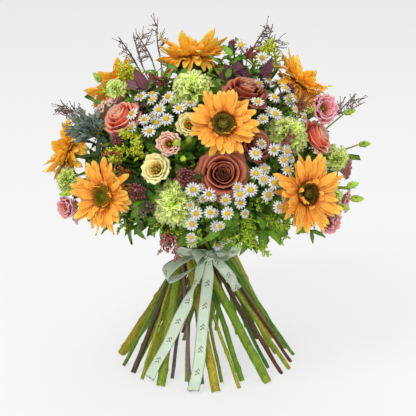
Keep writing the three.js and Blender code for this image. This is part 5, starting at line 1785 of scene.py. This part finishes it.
def fill_greenery():
    """Leafy twigs from the middle of the bouquet to just under its dome, all round."""
    tree = blooms_in_the_way()
    beds = SimpleNamespace(
        deep_leaves=Bed(FILL_LEAVES, DEEP_LEAF), fresh_leaves=Bed(FILL_LEAVES, GREEN_LEAF),
        fern_leaves=Bed(NEEDLES, GREEN_LEAF), lime_buds=Bed(TINY_BUDS, LIME_BUD),
        stalks=Stalks(GREEN_STALK, 4))
    for k in range(FILL_TWIGS):
        polar = math.degrees(math.acos(1 - 1.27 * (k + 0.5) / FILL_TWIGS))
        way = direction(math.degrees(k * GOLDEN), polar)
        spot, lift = free_spot(tree, way, -chance.choice((12, 18, 26, 36, 48, 60)))
        line = inner_twig(beds.stalks, spot, way, 0.45, 8, 1.0, -0.07, 0.012)
        kind = chance.choice(("deep", "fresh", "fern", "fern", "sprig", "sprig"))
        if polar > 84 and kind in ("deep", "fern"):
            kind = "sprig" if k % 2 else "fresh"
        leafy_twig(beds, kind, line, spot, way, lift > -30)
    for k in range(DEEP_TWIGS):
        polar = math.degrees(math.acos(1 - 1.15 * (k + 0.5) / DEEP_TWIGS))
        way = direction(math.degrees(k * GOLDEN), polar)
        spot = dome_point(way, -chance.uniform(48, 85))
        line = inner_twig(beds.stalks, spot, way, 0.5, 5, 1.0, -0.1)
        leafy(beds.deep_leaves, line, 0.0, 6, chance.uniform(1.0, 1.3), 7)
    for place in THIN_PLACES:
        spot = spot_at(place)
        line = inner_twig(beds.stalks, spot, direction_of(spot), 0.6, 6, 1.1, -0.1)
        leafy(beds.fresh_leaves, line, 0.0, 9, chance.uniform(0.55, 0.75), 5.5)
    plant_all("filling", "green_leaves", **vars(beds))


def lime_sprig(buds, needles, stalks, line, way):
    """A loose head of tiny lime buds on thin side stalks, with a few narrow leaves."""
    for k in range(9):
        spot, along = line.at((1 + 4 * k) * MM)
        side = around(along, k * GOLDEN)
        end = spot + (side * chance.uniform(5, 10) + way * (9 + 0.8 * k)) * MM
        stalks.add([spot, spot.lerp(end, 0.5) + side * MM, end], [0.4 * MM, 0.34 * MM, 0.28 * MM])
        needles.add(spot, side + along, along, (1.6, 1.0, 1))
        for i in range(9):
            at = spot.lerp(end, 0.33 + 0.082 * i)
            buds.add(at, stray() + way, side, chance.uniform(0.9, 1.3))


def along_up(way):
    return Vector((0, 0, 1)) if abs(way.z) < 0.9 else Vector((0, -1, 0))


fill_greenery()


# ---------------------------------------------------------------- twine and ribbon
TIE_HEIGHT, TIE_RADIUS = 147.0, 34.0
FOOT_RADIUS, FOOT_TWIST = 104.0, math.radians(62)  # where the cut ends stand, and the spiral's turn
STEM_REACH = 5.2  # the radius of the thickest stem
TWINE_TURNS, TURN_STEPS, TWINE_RADIUS = 4, 40, 0.88
RIBBON_WIDTH = 14.0
KNOT = (2.0, -42.5, 148.0)
BOUQUET = Axes(BASE, Vector((0, 0, 1)), Vector((1, 0, 0)))


def ribbon_paint():
    """Pale sage satin: fine threads, a woven edge, and a small sprig of leaves at every step."""
    p = Paint("ribbon_satin")
    across, along = p.uv()
    edge = (((across - 0.5).absolute() - 0.45) * 40).clamped()
    weft = (along * RIBBON_WIDTH * 11).sine() * 0.5 + 0.5
    warp = (across * RIBBON_WIDTH * 22).sine() * 0.5 + 0.5
    cloud = p.noise(p.place(), 90.0, 3.0)
    colour = p.mix((cloud * 1.8 - 0.4).clamped(), *tones(0xC0D3B6, 0xD3E1CB))
    colour = p.mix(edge * 0.55, colour, tone(0x98B88C))
    cell = (along / 1.9 + 0.21).fraction() * 1.9 * RIBBON_WIDTH
    side = (across - 0.5) * RIBBON_WIDTH
    mark = ((side * side) / 0.05 + (cell - 9) ** 2 / 22) < 1
    for low, lean in ((6.2, 1), (8.2, -1), (10.2, 1), (12.0, -1)):
        x, y = side - lean * 1.5, cell - low - 1.1
        a, b = x * 0.75 - y * (0.66 * lean), y * 0.75 + x * (0.66 * lean)
        mark = mark + ((a * a / 0.4 + b * b / 3.4) < 1)
    colour = p.mix(mark.clamped() * 0.85, colour, tone(0x4E3440))
    weave = weft * 0.5 + warp * 0.4 + edge * 2
    return p.finish(p.brighten(colour, 0.94 + weft * 0.07), 0.42, weave, 0.00012,
                    Sheen_Weight=0.3, Subsurface_Weight=0.1, Subsurface_Scale=0.001)


def cone_radius(z):
    """How far out the outermost stems reach at a height, in millimetres, with their thickness."""
    share = 1 - np.minimum(z, TIE_HEIGHT) / TIE_HEIGHT
    foot = (FOOT_RADIUS + 3) * share
    x = (TIE_RADIUS - STEM_REACH) * (1 - share) + foot * math.cos(FOOT_TWIST)
    return np.hypot(x, foot * math.sin(FOOT_TWIST)) + STEM_REACH * 1.2


def smooth_step(v, start, end):
    t = np.clip((v - start) / (end - start), 0, 1)
    return t * t * (3 - 2 * t)


def ribbon_tail(start, to, end, off, twist, phase, slant):
    """A tail from the knot down the outside of the stems; slant sets its cut end aslope."""
    def surface(u, v):
        v = v + slant * u * smooth_step(v, 0.8, 1.0)
        azimuth = np.radians(start + (to - start) * v ** 0.72 + 1.4 * np.sin(v * 7 + phase) * v)
        z = TIE_HEIGHT - 4 + (end - TIE_HEIGHT + 4) * v
        lift = 4 * np.sin(math.pi * np.minimum(1, v * 1.2 + 0.12)) + 1.3 * np.sin(v * 15 + phase)
        turn = twist * np.exp(-((v - 0.24) / 0.12) ** 2) + 0.22 * np.sin(v * 9 + phase)
        r = cone_radius(z) + off + lift + 4.5 * np.abs(np.sin(turn))
        half = RIBBON_WIDTH / 2 * (0.42 + 0.58 * smooth_step(v, 0, 0.13)) * u
        flat, deep = half * np.cos(turn), half * np.sin(turn) - 0.5 * u * u
        r = r + deep
        x = r * np.sin(azimuth) + flat * np.cos(azimuth)
        y = -r * np.cos(azimuth) + flat * np.sin(azimuth)
        return x, y, z + flat * 0.01 * (to - start)
    return surface


def ribbon_loop(reach, drop, width, lean, out=10.0):
    """A loop of the bow, out from the knot and back, opened as a leaning teardrop."""
    way = 1 if reach > 0 else -1

    def surface(u, v):
        turn = v * 2 * math.pi
        far = (1 - np.cos(turn)) / 2
        gape = np.sin(turn) * np.sqrt(far) * width
        x, y = KNOT[0] + reach * far, KNOT[1] - out * far + 0.3 * gape
        z = KNOT[2] + drop * far + gape
        side = Vector((0.3 * way, 0.95, 0.16 + lean)).normalized()
        full = RIBBON_WIDTH / 2 * (0.34 + 0.66 * smooth_step(np.minimum(v, 1 - v), 0.0, 0.16)) * u
        sway = 0.5 * np.sin(v * 8 + 1)
        return x + full * (side.x + sway * 0.5), y + full * side.y, z + full * (side.z - sway)
    return surface


def ribbon_wrap(u, v):
    """The turn round the bundle, over the twine, gathered a little into folds."""
    angle = -math.pi / 2 + 0.08 + v * (2 * math.pi - 0.1)
    fold = 0.55 * np.sin(u * 7 + 2 * np.sin(angle * 2)) + 0.25 * np.sin(u * 13 + angle * 3)
    z = TIE_HEIGHT + u * 6.6 + 0.8 * np.sin(angle * 3)
    r = TIE_RADIUS + 3.9 + 0.24 * np.maximum(0, TIE_HEIGHT - z) + fold + 0.3
    return r * np.cos(angle), r * np.sin(angle), z


def ribbon_knot(u, v):
    """The ribbon's turn over the roots of its loops, pulled into folds."""
    angle = 2 * math.pi * 1.08 * v + 2.4
    r = 6.3 - 1.7 * u ** 2 + 0.55 * np.cos(u * 8 + angle) + 0.35 * v
    x = KNOT[0] + u * 6.2 * (1 + 0.12 * np.sin(angle * 2))
    return x, KNOT[1] + 0.68 * r * np.cos(angle), KNOT[2] + r * np.sin(angle) + 0.8 * u


def plant_ribbon():
    strips = Petals(RIBBON)
    for surface, long, steps, wide in (
            (ribbon_wrap, 236, 96, 12), (ribbon_knot, 40, 34, 12),
            (ribbon_tail(-5, -41, 9, 1.4, 1.05, 0.6, 0.0), 162, 70, 8),
            (ribbon_tail(4, -9, 5, 4.4, 0.25, 2.2, 0.0), 160, 70, 8),
            (ribbon_tail(10, 44, 104, 2.9, -0.3, 4.0, 0.0), 60, 34, 8),
            (ribbon_loop(-52, -22, 11, 0.0), 122, 60, 8),
            (ribbon_loop(-17, -1, 6.5, 0.2, 7.0), 46, 30, 8),
            (ribbon_loop(24, 7, 6.5, 0.1), 60, 40, 8)):
        strips.add(surface, BOUQUET, 1.0, wide, steps, 0.45, shade=0.5, long=long / RIBBON_WIDTH)
    ribbon = strips.plant("ribbon_bow_satin")
    settle(ribbon, "ribbon", "ribbon_bow")


def plant_twine():
    """Four turns of twine round the stems, side by side, under the ribbon."""
    cord = Stalks(FIBRE, 8)
    points = []
    for i in range(TWINE_TURNS * TURN_STEPS + 1):
        angle = 2 * math.pi * i / TURN_STEPS
        r, z = 35.65 + 0.1 * math.sin(angle * 9), TIE_HEIGHT - 3.0 + 1.75 * i / TURN_STEPS
        points.append(BOUQUET.polar(angle, r, z))
    cord.add(points, [TWINE_RADIUS * MM * (1 + 0.06 * math.sin(i * 2.2)) for i in range(len(points))])
    plant_all("binding_twine", "twine", "binding_twine", cord=cord)


RIBBON = ribbon_paint()
plant_twine()
plant_ribbon()


# ---------------------------------------------------------------- stage, camera and light
LENS, EYE_BACK, EYE_HEIGHT, LOOK_HEIGHT = 129.8, 1.7119, 0.7492, 0.193
FLOOR = 40.0  # half the width of the floor
# a softbox's name, place, width and power
SOFTBOXES = (("key_light", (-0.9, -1.3, 1.9), 1.1, 26), ("fill_light", (1.5, -1.2, 1.1), 1.5, 10),
             ("top_light", (0.2, 0.7, 2.2), 1.6, 14), ("low_light", (-0.25, -1.7, 0.5), 1.0, 4))


def camera():
    """The photograph's view: a little from above, with a long lens."""
    eye = bpy.data.objects.new("view", bpy.data.cameras.new("view"))
    bpy.context.scene.collection.objects.link(eye)
    eye.data.lens, eye.data.sensor_width = LENS, 36
    eye.data.clip_start, eye.data.clip_end = 0.05, 100
    eye.location = TIE.x, TIE.y - EYE_BACK, EYE_HEIGHT
    look = Vector((TIE.x + 0.0006, TIE.y, LOOK_HEIGHT)) - eye.location
    eye.rotation_euler = look.to_track_quat("-Z", "Y").to_euler()
    bpy.context.scene.camera = eye


def softbox(name, place, size, power):
    lamp = bpy.data.lights.new(name, "AREA")
    lamp.shape, lamp.size, lamp.energy = "DISK", size, power
    made = bpy.data.objects.new(name, lamp)
    made.location = place
    made.rotation_euler = (Vector((0, 0, 0.2)) - Vector(place)).to_track_quat("-Z", "Y").to_euler()
    bpy.context.scene.collection.objects.link(made)


def studio():
    """A plain pale floor, soft light from above and both sides, and a white surround."""
    p = Paint("studio_floor")
    grain = p.noise(p.place(), 40.0, 2.0)
    p.finish(p.brighten((0.26, 0.26, 0.26), 0.98 + grain * 0.04), 0.9, Emission_Color=(1, 1, 1, 1),
             Emission_Strength=0.66, Specular_IOR_Level=0.0)
    corners = [(-FLOOR, -FLOOR, 0), (FLOOR, -FLOOR, 0), (FLOOR, FLOOR, 0), (-FLOOR, FLOOR, 0)]
    floor = mesh_piece("floor", corners, [(0, 1, 2, 3)], p.material)
    for lamp in SOFTBOXES:
        softbox(*lamp)
    world = bpy.data.worlds.new("surround")
    world.use_nodes = True
    glow = world.node_tree.nodes["Background"].inputs
    glow["Color"].default_value, glow["Strength"].default_value = (1, 1, 1, 1), 0.5
    bpy.context.scene.world = world
    bpy.context.scene.view_settings.view_transform = "Standard"


camera()
studio()
